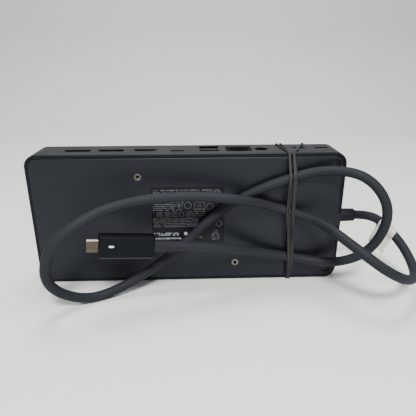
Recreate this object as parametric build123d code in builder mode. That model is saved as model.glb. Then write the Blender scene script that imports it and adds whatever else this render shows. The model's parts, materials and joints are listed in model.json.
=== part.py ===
from build123d import *
import math
import os

# A laptop docking station standing on its long front edge, with its captive lead wound up
# against its underside and held by two rubber bands.
# X runs along its length, -Y is the underside, +Y the top cover, +Z the rear face with the
# sockets. The origin is on the table, under the middle of the casing. Millimetres.

# ------------------------------------------------------------------ casing
body_length = 207.0
body_depth = 90.4
body_height = 29.0
corner_radius = 8.0
top_edge_radius = 2.0
rim_edge_radius = 0.6
rim_width = 2.2
wall = 3.0
top_wall = 2.2
plate_thickness = 2.0
plate_proud = 0.6
plate_gap = 0.3
plate_edge_radius = 0.5
module_length = 36.5
seam_gap = 0.3
fit = 0.1
snap_length = 9.0
snap_thickness = 1.2
snap_height = 3.0
snap_pitch = 48.0
snap_shift = 20.0
snap_count = 3
lock_rise = 63.0
lock_slot_length = 7.2
lock_slot_width = 3.2
lock_plate_size = 12.0
lock_plate_thickness = 1.2

# Rubber bands round the body: stretched thin under it, they lift it off the table.
lift = 0.6
band_thickness = 0.9
band_clear = 0.1
# Where the bands stand out over the three strands of the lead, as (y, z).
band_crowns = [(-21.5, 78.2), (-24.2, 55.0), (-24.2, 50.5), (-21.6, 18.0)]
band_reach = 40.0
band_low = -1.0
# Strands of each band: width, then where the left edge lies from the seam at the underside's
# rear edge, its front edge and the top cover's rear edge. The left band goes round twice.
band_strands = {
    "rubber_band_left": [(1.0, -2.6, 1.0, -7.0), (1.0, -1.45, 2.15, -2.9)],
    "rubber_band_right": [(2.0, 0.2, 3.3, 12.4)],
}

# ------------------------------------------------------------------ boards and screws
board_thickness = 1.6
board_gap = 0.5
main_board_stand = 4.1
module_board_drop = 2.4
screw_radius = 1.0
screw_head_radius = 1.9
screw_head_height = 1.2
screw_length = 5.0
post_radius = 3.0
post_inset = 8.4
module_screw_radius = 1.25
module_head_radius = 2.3
module_head_height = 1.4
module_screw_length = 7.0
module_bore_radius = 2.65
module_boss_radius = 3.5
module_boss_height = 3.6
module_bore_depth = 2.4
module_post_radius = 2.8
drive_radius = 0.9
drive_depth = 0.8
pilot_spare = 1.0
module_post_1_inset = 6.5
module_post_1_drop = 20.0
module_post_2_inset = 8.5
module_post_2_rise = 22.0
main_board_margin = 3.0
module_board_margin = 1.0
module_board_drop_z = 27.0
link_board_half = 12.0
link_board_overlap = 12.0
link_width = 6.0
link_length = 20.0
link_step = 1.0

# ------------------------------------------------------------------ mounting inserts and label
insert_span_x = 64.0
insert_span_z = 62.4
insert_shift = -0.9
insert_radius = 2.35
insert_thread_radius = 1.25
insert_length = 4.6
insert_boss_wall = 1.6
insert_floor = 0.6
label_length = 49.0
label_width = 40.6
label_thickness = 0.2
label_recess = 0.25
label_offset = 3.3
label_corner = 1.0

# ------------------------------------------------------------------ sockets
port_recess = 0.4
port_clearance = 0.15
cut_over = 1.0
shell_wall = 0.3
back_block = 2.6
core_lip = 1.5
# Tongues inside the sockets: rise over the centre, width, thickness, setback from the mouth.
displayport_tongue = (0.0, 12.6, 1.3, 3.5)
hdmi_tongue = (0.4, 11.0, 1.1, 2.5)
usb_c_tongue = (0.0, 6.7, 0.7, 1.0)
usb_a_tongue = (0.9, 11.1, 1.9, 2.5)
displayport_width = 16.1
displayport_height = 4.8
displayport_corner = 1.6
displayport_rise = 5.1
displayport_depth = 12.0
hdmi_width = 14.1
hdmi_height = 4.6
hdmi_taper = 1.9
hdmi_rise = 5.3
hdmi_depth = 12.0
usb_c_width = 8.4
usb_c_height = 2.6
usb_c_rise = 2.4
usb_c_depth = 8.6
usb_a_width = 12.5
usb_a_height = 5.1
usb_a_pitch = 8.6
usb_a_rise = 8.1
usb_a_depth = 14.0
front_usb_a_lift = 1.0
network_width = 16.0
network_height = 13.1
network_rise = 6.65
network_depth = 21.0
network_bore_width = 11.8
network_bore_height = 8.0
network_bore_depth = 13.5
network_bore_rise = 0.4
contact_inset = 1.0
network_latch_width = 6.2
network_latch_height = 1.5
contact_count = 8
contact_pitch = 1.02
contact_width = 0.5
contact_length = 8.0
power_nose_radius = 4.0
power_bore_radius = 3.55
power_sleeve_wall = 0.3
power_pin_radius = 0.5
power_pin_setback = 2.5
power_sleeve_setback = 1.5
power_rise = 5.6
power_body_width = 10.6
power_body_wall = 1.2
power_depth = 13.0
power_bore_depth = 10.0

# Clear room beside each rear socket, as shares of what the sockets leave free.
bay_start = 23.65
bay_end = 13.9
rear_gap_shares = [5.8, 7.2, 10.05, 10.35, 5.45, 2.9]
module_port_1_inset = 29.0
module_port_2_inset = 13.5
front_usb_c_inset = 42.0
front_usb_a_inset = 58.0

# ------------------------------------------------------------------ what the boards carry
# Places on a board are (x, height above the body's middle).
block_corner = 0.3
block_edge = 0.15
chip_height = 1.2
cooled_chips = [
    ("display_hub_chip", -48.0, 0.0, 13.0),
    ("usb_hub_chip", -12.0, -2.0, 11.0),
    ("network_chip", 20.0, 1.0, 9.0),
]
power_chip_size = 7.0
power_chip_place = (46.0, -22.0)
pad_height = 0.8
pad_inset = 1.0
spreader_x = -15.0
spreader_half_x = 46.0
spreader_half_z = 11.0
spreader_thickness = 1.5
spreader_corner = 1.5
spreader_foot = 5.0
fin_pitch = 9.0
fin_count = 9
fin_thickness = 1.2
fin_height = 2.0
inductor_places = [(30.0, -24.0), (38.0, -30.0), (30.0, -33.0)]
inductor_size = 6.0
inductor_corner = 0.6
inductor_height = 3.0
capacitor_places = [(-84.0, 8.0), (-84.0, 16.0), (-76.0, 12.0), (16.0, -28.0), (8.0, -28.0)]
capacitor_radius = 3.1
capacitor_height = 6.5
transformer_length = 14.0
transformer_width = 7.0
transformer_height = 5.0
shield_inset = 9.0
shield_rise = 12.0
shield_width = 15.0
shield_length = 22.0
shield_height = 2.8
shield_corner = 0.8

# ------------------------------------------------------------------ power button
button_inset_x = 18.0
button_inset_z = 12.5
button_radius = 6.0
button_clearance = 0.25
button_proud = 0.4
button_edge = 0.3
button_flange = 1.4
button_flange_thickness = 1.2
button_well_wall = 1.2
button_well_height = 3.0
button_rest_gap = 0.15
button_travel = 0.6
button_stem_radius = 1.6
switch_size = 6.2
switch_height = 3.4
plunger_radius = 1.7
plunger_proud = 0.9
plunger_length = 2.2
plunger_clearance = 0.15

# ------------------------------------------------------------------ lead and its gland
cord_diameter = 6.2
gland_rise = 43.5
gland_y = -4.0
gland_length = 12.5
gland_radius = 4.7
gland_end_radius = 4.4
gland_end_chamfer = 0.8
gland_neck_radius = 3.9
gland_flange_radius = 5.2
gland_flange_thickness = 2.0
tail_length = 9.0
bend_share = 0.45
clamp_width = 4.0
clamp_thickness = 1.2
clamp_margin = 0.4
connector_length = 7.0
connector_height = 3.6
connector_width = 12.0
tag_drop = 10.0
tag_thickness = 0.4
tag_sleeve_radius = 3.7
tag_start = 0.53
tag_end = 0.35
tag_hang = (-0.45, -0.1, -0.85)

# ------------------------------------------------------------------ plug
relief_length = 12.0
relief_start_radius = 3.25
relief_end_width = 7.8
relief_end_height = 6.8
relief_corner = 2.6
housing_length = 33.0
housing_width = 15.0
housing_height = 7.8
housing_corner = 2.4
housing_edge = 0.8
plug_shell_width = 8.25
plug_shell_height = 2.4
plug_shell_length = 6.7
plug_shell_wall = 0.25
plug_shell_set_in = 4.0
plug_slot_width = 6.75
plug_slot_height = 0.8
plug_carrier_setback = 0.4
lamp_length = 3.1
lamp_width = 1.2
lamp_depth = 0.8
lamp_setback = 7.6
lamp_rise = 1.1

# ------------------------------------------------------------------ shared places
left_x = -body_length / 2
right_x = body_length / 2
front_z = lift
rear_z = lift + body_depth
mid_z = (front_z + rear_z) / 2
under_y = -body_height / 2
top_y = body_height / 2
rim_y = under_y + plate_proud
plate_back_y = under_y + plate_thickness
ceiling_y = top_y - top_wall
seam_x = right_x - module_length
cavity_length = body_length - 2 * wall
cavity_depth = body_depth - 2 * wall
cavity_radius = corner_radius - wall
board_under_y = plate_back_y + main_board_stand
board_y = board_under_y + board_thickness
board_half = cavity_depth / 2 - board_gap
gland_z = front_z + gland_rise
tail_radius = cord_diameter / 2

# Sockets in the module keep their height above the module's own board.
module_port_y = 0.9
module_board_y = module_port_y - module_board_drop
module_board_under_y = module_board_y - board_thickness

# Module screws sit as close to the corners as their bosses allow.
corner_room = (cavity_radius - module_boss_radius - fit) / math.sqrt(2)
module_screw_inset = corner_radius - corner_room
module_screw_x = right_x - module_screw_inset
module_screw_reach = body_depth / 2 - module_screw_inset
module_screw_places = [(module_screw_x, s * module_screw_reach) for s in (1, -1)]

# Posts that carry the boards, as (x, height above the body's middle).
post_reach = body_depth / 2 - post_inset
main_post_places = [
    (left_x + post_inset, post_reach),
    (left_x + post_inset, -post_reach / 4),
    (seam_x - post_inset, post_reach),
    (seam_x - post_inset, -post_reach),
]
module_post_places = [
    (seam_x + module_post_1_inset, -module_post_1_drop),
    (right_x - module_post_2_inset, module_post_2_rise),
]
insert_places = [
    (-insert_span_x / 2, insert_shift + insert_span_z / 2),
    (insert_span_x / 2, insert_shift - insert_span_z / 2),
]

# Rear sockets, spread over the bay between the left end and the seam.
rear_widths = [
    displayport_width,
    displayport_width,
    hdmi_width,
    usb_c_width,
    usb_a_width,
    network_width,
    2 * power_nose_radius,
]
bay_length = body_length - module_length - bay_start - bay_end
bay_free = bay_length - sum(rear_widths)
rear_x = []
edge_x = left_x + bay_start
for index, width in enumerate(rear_widths):
    rear_x.append(edge_x + width / 2)
    if index < len(rear_gap_shares):
        share = rear_gap_shares[index] / sum(rear_gap_shares)
        edge_x = edge_x + width + share * bay_free
module_port_x = [right_x - module_port_1_inset, right_x - module_port_2_inset]
front_usb_c_x = left_x + front_usb_c_inset
front_usb_a_x = left_x + front_usb_a_inset
button_x = left_x + button_inset_x
button_height = -body_depth / 2 + button_inset_z

os.makedirs("parts", exist_ok=True)


def layer(y):
    """The plane at height y, seen from the underside: local x is X, local y is Z from the middle."""
    return Plane(origin=(0, y, mid_z), x_dir=(1, 0, 0), z_dir=(0, -1, 0))


def save(part, label):
    """Labels a finished piece and writes its file."""
    part.label = label
    export_step(part, f"parts/{label}.step")


# ------------------------------------------------------------------ outlines of the sockets
def displayport_outline(grow, mode=Mode.ADD):
    half_w = displayport_width / 2 + grow
    half_h = displayport_height / 2 + grow
    cut = displayport_corner
    Polygon((-half_w, -half_h + cut), (-half_w + cut, -half_h), (half_w, -half_h),
            (half_w, half_h), (-half_w, half_h), align=None, mode=mode)


def hdmi_outline(grow, mode=Mode.ADD):
    half_w = hdmi_width / 2 + grow
    half_h = hdmi_height / 2 + grow
    cut = hdmi_taper
    Polygon((-half_w, -half_h + cut), (-half_w + cut, -half_h), (half_w - cut, -half_h),
            (half_w, -half_h + cut), (half_w, half_h), (-half_w, half_h), align=None, mode=mode)


def usb_c_outline(grow, mode=Mode.ADD):
    SlotOverall(usb_c_width + 2 * grow, usb_c_height + 2 * grow, mode=mode)


def usb_a_outline(grow, mode=Mode.ADD):
    Rectangle(usb_a_width + 2 * grow, usb_a_height + 2 * grow, mode=mode)


def stack_outline(grow, mode=Mode.ADD):
    Rectangle(usb_a_width + 2 * grow, usb_a_height + usb_a_pitch + 2 * grow, mode=mode)


def network_outline(grow, mode=Mode.ADD):
    Rectangle(network_width + 2 * grow, network_height + 2 * grow, mode=mode)


def power_outline(grow, mode=Mode.ADD):
    Circle(power_nose_radius + grow, mode=mode)


# Every socket: name, outline, centre x and y, the board face it stands on, its depth, and +1 on
# the rear or -1 on the front.
displayport_y = board_y + displayport_rise
hdmi_y = board_y + hdmi_rise
usb_c_y = board_y + usb_c_rise
stack_y = board_y + usb_a_rise
network_y = board_y + network_rise
power_y = board_y + power_rise
front_usb_a_y = board_y + usb_a_height / 2 + front_usb_a_lift
sockets = [
    ("displayport_1", displayport_outline, rear_x[0], displayport_y, board_y,
     displayport_depth, 1),
    ("displayport_2", displayport_outline, rear_x[1], displayport_y, board_y,
     displayport_depth, 1),
    ("hdmi", hdmi_outline, rear_x[2], hdmi_y, board_y, hdmi_depth, 1),
    ("usb_c", usb_c_outline, rear_x[3], usb_c_y, board_y, usb_c_depth, 1),
    ("usb_a_stack", stack_outline, rear_x[4], stack_y, board_y, usb_a_depth, 1),
    ("network", network_outline, rear_x[5], network_y, board_y, network_depth, 1),
    ("power", power_outline, rear_x[6], power_y, board_y, power_depth, 1),
    ("module_usb_c_1", usb_c_outline, module_port_x[0], module_port_y, module_board_y,
     usb_c_depth, 1),
    ("module_usb_c_2", usb_c_outline, module_port_x[1], module_port_y, module_board_y,
     usb_c_depth, 1),
    ("front_usb_c", usb_c_outline, front_usb_c_x, usb_c_y, board_y, usb_c_depth, -1),
    ("front_usb_a", usb_a_outline, front_usb_a_x, front_usb_a_y, board_y, usb_a_depth, -1),
]
size_of = {
    displayport_outline: (displayport_width, displayport_height),
    hdmi_outline: (hdmi_width, hdmi_height),
    usb_c_outline: (usb_c_width, usb_c_height),
    usb_a_outline: (usb_a_width, usb_a_height),
    stack_outline: (usb_a_width, usb_a_height + usb_a_pitch),
    network_outline: (network_width, network_height),
    power_outline: (power_body_width, 2 * power_nose_radius),
}


def wall_z(side):
    """Height of the outer wall that a socket on this side looks out of."""
    return rear_z if side > 0 else front_z


# ------------------------------------------------------------------ casing
with BuildPart() as top_cover:
    with BuildSketch(layer(top_y)):
        RectangleRounded(body_length, body_depth, corner_radius)
    extrude(amount=top_y - rim_y)
    fillet(faces().sort_by(Axis.Y)[-1].edges(), radius=top_edge_radius)
    fillet(faces().sort_by(Axis.Y)[0].edges(), radius=rim_edge_radius)
    with BuildSketch(layer(plate_back_y)):
        RectangleRounded(body_length - 2 * rim_width, body_depth - 2 * rim_width,
                         corner_radius - rim_width)
    extrude(amount=plate_thickness, mode=Mode.SUBTRACT)
    with BuildSketch(layer(ceiling_y)):
        RectangleRounded(cavity_length, cavity_depth, cavity_radius)
    extrude(amount=ceiling_y - plate_back_y, mode=Mode.SUBTRACT)
    with BuildSketch(layer(ceiling_y)):
        with Locations(*main_post_places):
            Circle(post_radius)
    extrude(amount=ceiling_y - board_y)
    with BuildSketch(layer(ceiling_y)):
        with Locations(*module_post_places):
            Circle(post_radius)
    extrude(amount=ceiling_y - module_board_y)
    with BuildSketch(layer(ceiling_y)):
        with Locations(*module_screw_places):
            Circle(module_post_radius)
    extrude(amount=ceiling_y - under_y - module_boss_height - fit)
    with BuildSketch(layer(ceiling_y)):
        with Locations((button_x, button_height)):
            Circle(button_radius + button_flange + 3 * fit + button_well_wall)
            Circle(button_radius + button_flange + 3 * fit, mode=Mode.SUBTRACT)
    extrude(amount=button_well_height)
    with BuildSketch(layer(top_y)):
        with Locations((button_x, button_height)):
            Circle(button_radius + button_clearance)
    extrude(amount=top_wall, mode=Mode.SUBTRACT)
    with BuildSketch(layer(board_y)):
        with Locations(*main_post_places):
            Circle(screw_radius + fit / 2)
    extrude(amount=-screw_length, mode=Mode.SUBTRACT)
    with BuildSketch(layer(module_board_y)):
        with Locations(*module_post_places):
            Circle(screw_radius + fit / 2)
    extrude(amount=-screw_length, mode=Mode.SUBTRACT)
    with BuildSketch(layer(under_y + module_boss_height)):
        with Locations(*module_screw_places):
            Circle(module_screw_radius + fit / 2)
    pilot_depth = module_screw_length - module_boss_height + module_bore_depth + pilot_spare
    extrude(amount=-pilot_depth, mode=Mode.SUBTRACT)
    for _, outline, x, y, base_y, depth, side in sockets:
        width, height = size_of[outline]
        with BuildSketch(Plane.XY.offset(wall_z(side) + side * cut_over)):
            with Locations((x, y)):
                outline(shell_wall + port_clearance)
        extrude(amount=-side * (wall + 2 * cut_over), mode=Mode.SUBTRACT)
        with BuildSketch(Plane.XY.offset(wall_z(side) - side * wall)):
            with Locations((x, base_y)):
                Rectangle(width + 2 * (shell_wall + port_clearance),
                          y - base_y + height / 2 + shell_wall + port_clearance,
                          align=(Align.CENTER, Align.MIN))
        extrude(amount=-side * (depth + back_block), mode=Mode.SUBTRACT)
    with BuildSketch(Plane.YZ.offset(right_x - wall - fit)):
        with Locations((gland_y, gland_z)):
            Circle(gland_neck_radius + fit)
        with Locations(((gland_y + rim_y - wall) / 2, gland_z)):
            Rectangle(gland_y - rim_y + wall, 2 * (gland_neck_radius + fit))
    extrude(amount=wall + 2 * fit, mode=Mode.SUBTRACT)
    with BuildSketch(Plane.YZ.offset(left_x - fit)):
        with Locations((0, front_z + lock_rise)):
            SlotOverall(lock_slot_length, lock_slot_width)
    extrude(amount=wall + 2 * fit, mode=Mode.SUBTRACT)
save(top_cover.part, "top_cover")


def plate_outline():
    """The opening inside the rim, less the groove round the plate."""
    RectangleRounded(body_length - 2 * (rim_width + plate_gap),
                     body_depth - 2 * (rim_width + plate_gap),
                     corner_radius - rim_width - plate_gap)


with BuildPart() as base_cover:
    with BuildSketch(layer(plate_back_y)):
        plate_outline()
        with Locations((seam_x - seam_gap / 2, 0)):
            Rectangle(body_length, body_depth, align=(Align.MIN, Align.CENTER), mode=Mode.SUBTRACT)
    extrude(amount=plate_thickness)
    fillet(faces().sort_by(Axis.Y)[0].edges(), radius=plate_edge_radius)
    with BuildSketch(layer(under_y + insert_length + insert_floor)):
        with Locations(*insert_places):
            Circle(insert_radius + insert_boss_wall)
    extrude(amount=insert_length + insert_floor - plate_thickness)
    snap_y = cavity_depth / 2 - fit - snap_thickness / 2
    with BuildSketch(layer(plate_back_y + snap_height)):
        with Locations((-snap_shift, 0)):
            with GridLocations(snap_pitch, 2 * snap_y, snap_count, 2):
                Rectangle(snap_length, snap_thickness)
    extrude(amount=snap_height)
    with BuildSketch(layer(under_y)):
        with Locations(*insert_places):
            Circle(insert_radius)
    extrude(amount=-insert_length, mode=Mode.SUBTRACT)
    with BuildSketch(layer(under_y)):
        with Locations((0, label_offset)):
            RectangleRounded(label_length + 2 * fit, label_width + 2 * fit, label_corner)
    extrude(amount=-label_recess, mode=Mode.SUBTRACT)
save(base_cover.part, "base_cover")

with BuildPart() as module_cover:
    with BuildSketch(layer(plate_back_y)):
        plate_outline()
        with Locations((seam_x + seam_gap / 2, 0)):
            Rectangle(body_length, body_depth, align=(Align.MAX, Align.CENTER), mode=Mode.SUBTRACT)
    extrude(amount=plate_thickness)
    fillet(faces().sort_by(Axis.Y)[0].edges(), radius=plate_edge_radius)
    with BuildSketch(layer(under_y + module_boss_height)):
        with Locations(*module_screw_places):
            Circle(module_boss_radius)
    extrude(amount=module_boss_height - plate_thickness)
    with BuildSketch(Plane.YZ.offset(right_x - wall + fit)):
        with Locations((rim_y, gland_z)):
            Rectangle(gland_y - gland_neck_radius / 2 - rim_y, 2 * gland_neck_radius,
                      align=(Align.MIN, Align.CENTER))
        with Locations((gland_y, gland_z)):
            Circle(gland_neck_radius + fit, mode=Mode.SUBTRACT)
    extrude(amount=wall - fit)
    with BuildSketch(layer(under_y)):
        with Locations(*module_screw_places):
            Circle(module_bore_radius)
    extrude(amount=-module_bore_depth, mode=Mode.SUBTRACT)
    with BuildSketch(layer(under_y)):
        with Locations(*module_screw_places):
            Circle(module_screw_radius + fit)
    extrude(amount=-module_boss_height, mode=Mode.SUBTRACT)
save(module_cover.part, "module_cover")

with BuildPart() as label:
    with BuildSketch(layer(under_y + label_recess)):
        with Locations((0, label_offset)):
            RectangleRounded(label_length, label_width, label_corner - fit)
    extrude(amount=label_thickness)
save(label.part, "label")

with BuildPart() as threaded_inserts:
    with BuildSketch(layer(under_y + insert_length)):
        with Locations(*insert_places):
            Circle(insert_radius - fit / 2)
            Circle(insert_thread_radius, mode=Mode.SUBTRACT)
    extrude(amount=insert_length - fit)
save(threaded_inserts.part, "threaded_inserts")


def screws(places, seat_y, shaft, length, head, head_height):
    """Screws seated at seat_y with their heads towards the underside."""
    with BuildPart() as group:
        with BuildSketch(layer(seat_y)):
            with Locations(*places):
                Circle(head)
        extrude(amount=head_height)
        with BuildSketch(layer(seat_y)):
            with Locations(*places):
                Circle(shaft)
        extrude(amount=-length)
        with BuildSketch(layer(seat_y - head_height)):
            with Locations(*places):
                RegularPolygon(drive_radius, 6)
        extrude(amount=-drive_depth, mode=Mode.SUBTRACT)
    return group.part


save(screws(module_screw_places, under_y + module_bore_depth, module_screw_radius - fit / 2,
            module_screw_length, module_head_radius, module_head_height), "module_screws")

flange_x = right_x - wall - fit
clamp_x = flange_x - gland_flange_thickness - tail_length / 2
clamp_y = module_board_under_y - clamp_thickness
clamp_screw_reach = tail_radius + clamp_thickness + screw_head_radius + 2 * fit
clamp_reach = clamp_screw_reach + screw_head_radius + clamp_margin
clamp_screw_places = [(clamp_x, gland_z - mid_z + s * clamp_screw_reach) for s in (1, -1)]
main_screws = screws(main_post_places, board_under_y, screw_radius, screw_length,
                     screw_head_radius, screw_head_height)
module_board_screws = screws(module_post_places, module_board_under_y, screw_radius,
                             screw_length, screw_head_radius, screw_head_height)
clamp_screws = screws(clamp_screw_places, clamp_y, screw_radius, screw_length,
                      screw_head_radius, screw_head_height)
with BuildPart() as board_screws:
    add(main_screws)
    add(module_board_screws)
    add(clamp_screws)
save(board_screws.part, "board_screws")

with BuildPart() as lock_plate:
    with BuildSketch(Plane.YZ.offset(left_x + wall + fit)):
        with Locations((0, front_z + lock_rise)):
            Rectangle(lock_plate_size, lock_plate_size)
            SlotOverall(lock_slot_length, lock_slot_width, mode=Mode.SUBTRACT)
    extrude(amount=lock_plate_thickness)
save(lock_plate.part, "lock_plate")

# ------------------------------------------------------------------ boards
main_left = left_x + wall + board_gap
main_right = seam_x - main_board_margin
with BuildPart() as main_board:
    with BuildSketch(layer(board_y)):
        with Locations(((main_left + main_right) / 2, 0)):
            RectangleRounded(main_right - main_left, 2 * board_half, cavity_radius)
        with Locations(*main_post_places):
            Circle(screw_radius + fit, mode=Mode.SUBTRACT)
    extrude(amount=board_thickness)
save(main_board.part, "main_board")

module_left = seam_x + module_board_margin
module_right = right_x - wall - board_gap
tongue_left = main_right - link_board_overlap
connector_right = clamp_x - tail_length / 2
with BuildPart() as module_board:
    with BuildSketch(layer(module_board_y)):
        with Locations((module_left, -module_board_drop_z)):
            Rectangle(module_right - module_left, board_half + module_board_drop_z,
                      align=(Align.MIN, Align.MIN))
        with Locations((tongue_left, -link_board_half)):
            Rectangle(module_left - tongue_left, 2 * link_board_half, align=(Align.MIN, Align.MIN))
        with Locations((module_screw_x - module_post_radius - board_gap,
                        module_screw_reach - module_post_radius - board_gap)):
            Rectangle(body_length, body_depth, align=(Align.MIN, Align.MIN), mode=Mode.SUBTRACT)
        with Locations((connector_right, gland_z - mid_z)):
            Rectangle(body_length, 2 * (tail_radius + board_gap),
                      align=(Align.MIN, Align.CENTER), mode=Mode.SUBTRACT)
        with Locations((flange_x - gland_flange_thickness - board_gap, gland_z - mid_z)):
            Rectangle(body_length, 2 * (gland_flange_radius + board_gap),
                      align=(Align.MIN, Align.CENTER), mode=Mode.SUBTRACT)
        with Locations(*module_post_places, *clamp_screw_places):
            Circle(screw_radius + fit, mode=Mode.SUBTRACT)
    extrude(amount=board_thickness)
save(module_board.part, "module_board")


def block(x, z, width, height, thickness, base_y):
    """A flat chip or block standing on base_y and rising towards the top cover."""
    with BuildPart() as piece:
        with BuildSketch(layer(base_y)):
            with Locations((x, z)):
                RectangleRounded(width, height, block_corner)
        extrude(amount=-thickness)
        chamfer(faces().sort_by(Axis.Y)[-1].edges(), length=block_edge)
    return piece.part


link_x = (tongue_left + main_right) / 2
link_gap = module_board_under_y - board_y
save(block(link_x, 0, link_width, link_length, link_gap / 2, board_y), "board_socket")
save(block(link_x, 0, link_width - link_step, link_length - link_step, link_gap / 2 - fit,
           board_y + link_gap / 2 + fit), "board_plug")

for name, x, z, size in cooled_chips:
    save(block(x, z, size, size, chip_height, board_y), name)

with BuildPart() as thermal_pads:
    for _, x, z, size in cooled_chips:
        with BuildSketch(layer(board_y + chip_height)):
            with Locations((x, z)):
                Rectangle(size - pad_inset, size - pad_inset)
        extrude(amount=-pad_height)
save(thermal_pads.part, "thermal_pads")

spreader_y = board_y + chip_height + pad_height
with BuildPart() as heat_spreader:
    with BuildSketch(layer(spreader_y)):
        with Locations((spreader_x, 0)):
            RectangleRounded(2 * spreader_half_x, 2 * spreader_half_z, spreader_corner)
    extrude(amount=-spreader_thickness)
    with BuildSketch(layer(spreader_y)):
        with Locations((spreader_x, 0)):
            with GridLocations(2 * spreader_half_x - spreader_foot,
                               2 * spreader_half_z - spreader_foot, 2, 2):
                Rectangle(spreader_foot, spreader_foot)
    extrude(amount=chip_height + pad_height)
    with BuildSketch(layer(spreader_y + spreader_thickness)):
        with Locations((spreader_x, 0)):
            with GridLocations(fin_pitch, 1.0, fin_count, 1):
                Rectangle(fin_thickness, 2 * spreader_half_z - spreader_foot)
    extrude(amount=-fin_height)
save(heat_spreader.part, "heat_spreader")

with BuildPart() as inductors:
    with BuildSketch(layer(board_y)):
        with Locations(*inductor_places):
            RectangleRounded(inductor_size, inductor_size, inductor_corner)
    extrude(amount=-inductor_height)
save(inductors.part, "inductors")

with BuildPart() as capacitors:
    with BuildSketch(layer(board_y)):
        with Locations(*capacitor_places):
            Circle(capacitor_radius)
    extrude(amount=-capacitor_height)
    chamfer(faces().sort_by(Axis.Y)[-1].edges(), length=2 * block_edge)
save(capacitors.part, "capacitors")

network_back = body_depth / 2 - port_recess - network_depth
save(block(rear_x[5], network_back - transformer_width, transformer_length, transformer_width,
           transformer_height, board_y), "network_transformer")

shield_place = (module_left + shield_inset, shield_rise)
with BuildPart() as module_shield:
    with BuildSketch(layer(module_board_y)):
        with Locations(shield_place):
            RectangleRounded(shield_width, shield_length, shield_corner)
    extrude(amount=-shield_height)
    with BuildSketch(layer(module_board_y)):
        with Locations(shield_place):
            Rectangle(shield_width - 2 * shell_wall, shield_length - 2 * shell_wall)
    extrude(amount=shell_wall - shield_height, mode=Mode.SUBTRACT)
save(module_shield.part, "module_shield")

# The same power chip sits on both boards.
power_chip_main = block(*power_chip_place, power_chip_size, power_chip_size, chip_height, board_y)
power_chip_module = block(*shield_place, power_chip_size, power_chip_size, chip_height,
                          module_board_y)
with BuildPart() as power_chips:
    add(power_chip_main)
    add(power_chip_module)
save(power_chips.part, "power_chips")


# ------------------------------------------------------------------ socket pieces
def socket_shell(outline, x, y, depth, side):
    """The metal sleeve of a socket, set a little behind the wall's outer face."""
    with BuildPart() as shell:
        with BuildSketch(Plane.XY.offset(wall_z(side) - side * port_recess)):
            with Locations((x, y)):
                outline(shell_wall)
                outline(0, Mode.SUBTRACT)
        extrude(amount=-side * depth)
    return shell.part


def socket_core(outline, x, y, depth, side, base_y):
    """The insulator behind a sleeve, standing on its board, with its tongue inside the sleeve."""
    width, height = size_of[outline]
    rise, tongue_width, tongue_thickness, setback = tongue_of[outline]
    back_z = wall_z(side) - side * (port_recess + depth)
    with BuildPart() as core:
        with BuildSketch(Plane.XY.offset(back_z)):
            with Locations((x, base_y)):
                Rectangle(width + 2 * shell_wall, y + height / 2 - base_y,
                          align=(Align.CENTER, Align.MIN))
        extrude(amount=-side * back_block)
        with BuildSketch(Plane.XY.offset(back_z)):
            with Locations((x, y)):
                outline(-fit / 2)
        extrude(amount=side * core_lip)
        with BuildSketch(Plane.XY.offset(back_z)):
            with Locations((x, y + rise)):
                Rectangle(tongue_width, tongue_thickness)
        extrude(amount=side * (depth - setback))
    return core.part


tongue_of = {
    displayport_outline: displayport_tongue,
    hdmi_outline: hdmi_tongue,
    usb_c_outline: usb_c_tongue,
    usb_a_outline: usb_a_tongue,
}
for name, outline, x, y, base_y, depth, side in sockets:
    if outline in tongue_of:
        save(socket_shell(outline, x, y, depth, side), f"{name}_shell")
        save(socket_core(outline, x, y, depth, side, base_y), f"{name}_tongue")

# The stacked pair shares one shell with a bar between its two openings.
stack_x = rear_x[4]
stack_front = rear_z - port_recess
stack_back = stack_front - usb_a_depth
stack_offsets = [usb_a_pitch / 2, -usb_a_pitch / 2]
with BuildPart() as usb_a_shell:
    with BuildSketch(Plane.XY.offset(stack_front)):
        with Locations((stack_x, stack_y)):
            stack_outline(shell_wall)
        with Locations(*[(stack_x, stack_y + rise) for rise in stack_offsets]):
            Rectangle(usb_a_width, usb_a_height, mode=Mode.SUBTRACT)
    extrude(amount=-usb_a_depth)
save(usb_a_shell.part, "usb_a_stack_shell")

with BuildPart() as usb_a_core:
    with BuildSketch(Plane.XY.offset(stack_back)):
        with Locations((stack_x, board_y)):
            Rectangle(usb_a_width + 2 * shell_wall,
                      stack_y - board_y + (usb_a_height + usb_a_pitch) / 2,
                      align=(Align.CENTER, Align.MIN))
    extrude(amount=-back_block)
    for rise in stack_offsets:
        with BuildSketch(Plane.XY.offset(stack_back)):
            with Locations((stack_x, stack_y + rise)):
                Rectangle(usb_a_width - fit, usb_a_height - fit)
        extrude(amount=core_lip)
        tongue_rise, tongue_width, tongue_thickness, setback = usb_a_tongue
        with BuildSketch(Plane.XY.offset(stack_back)):
            with Locations((stack_x, stack_y + rise + tongue_rise)):
                Rectangle(tongue_width, tongue_thickness)
        extrude(amount=usb_a_depth - setback)
save(usb_a_core.part, "usb_a_stack_tongues")

network_x = rear_x[5]
network_front = rear_z - port_recess
bore_y = network_y + network_bore_rise
contact_y = bore_y + network_bore_height / 2 - contact_inset
with BuildPart() as network_socket:
    with BuildSketch(Plane.XY.offset(network_front)):
        with Locations((network_x, network_y)):
            network_outline(0)
    extrude(amount=-network_depth)
    with BuildSketch(Plane.XY.offset(network_front)):
        with Locations((network_x, bore_y)):
            Rectangle(network_bore_width, network_bore_height)
        with Locations((network_x, bore_y - network_bore_height / 2 - network_latch_height / 2)):
            Rectangle(network_latch_width, network_latch_height + 2 * fit)
    extrude(amount=-network_bore_depth, mode=Mode.SUBTRACT)
save(network_socket.part, "network_socket")

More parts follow.
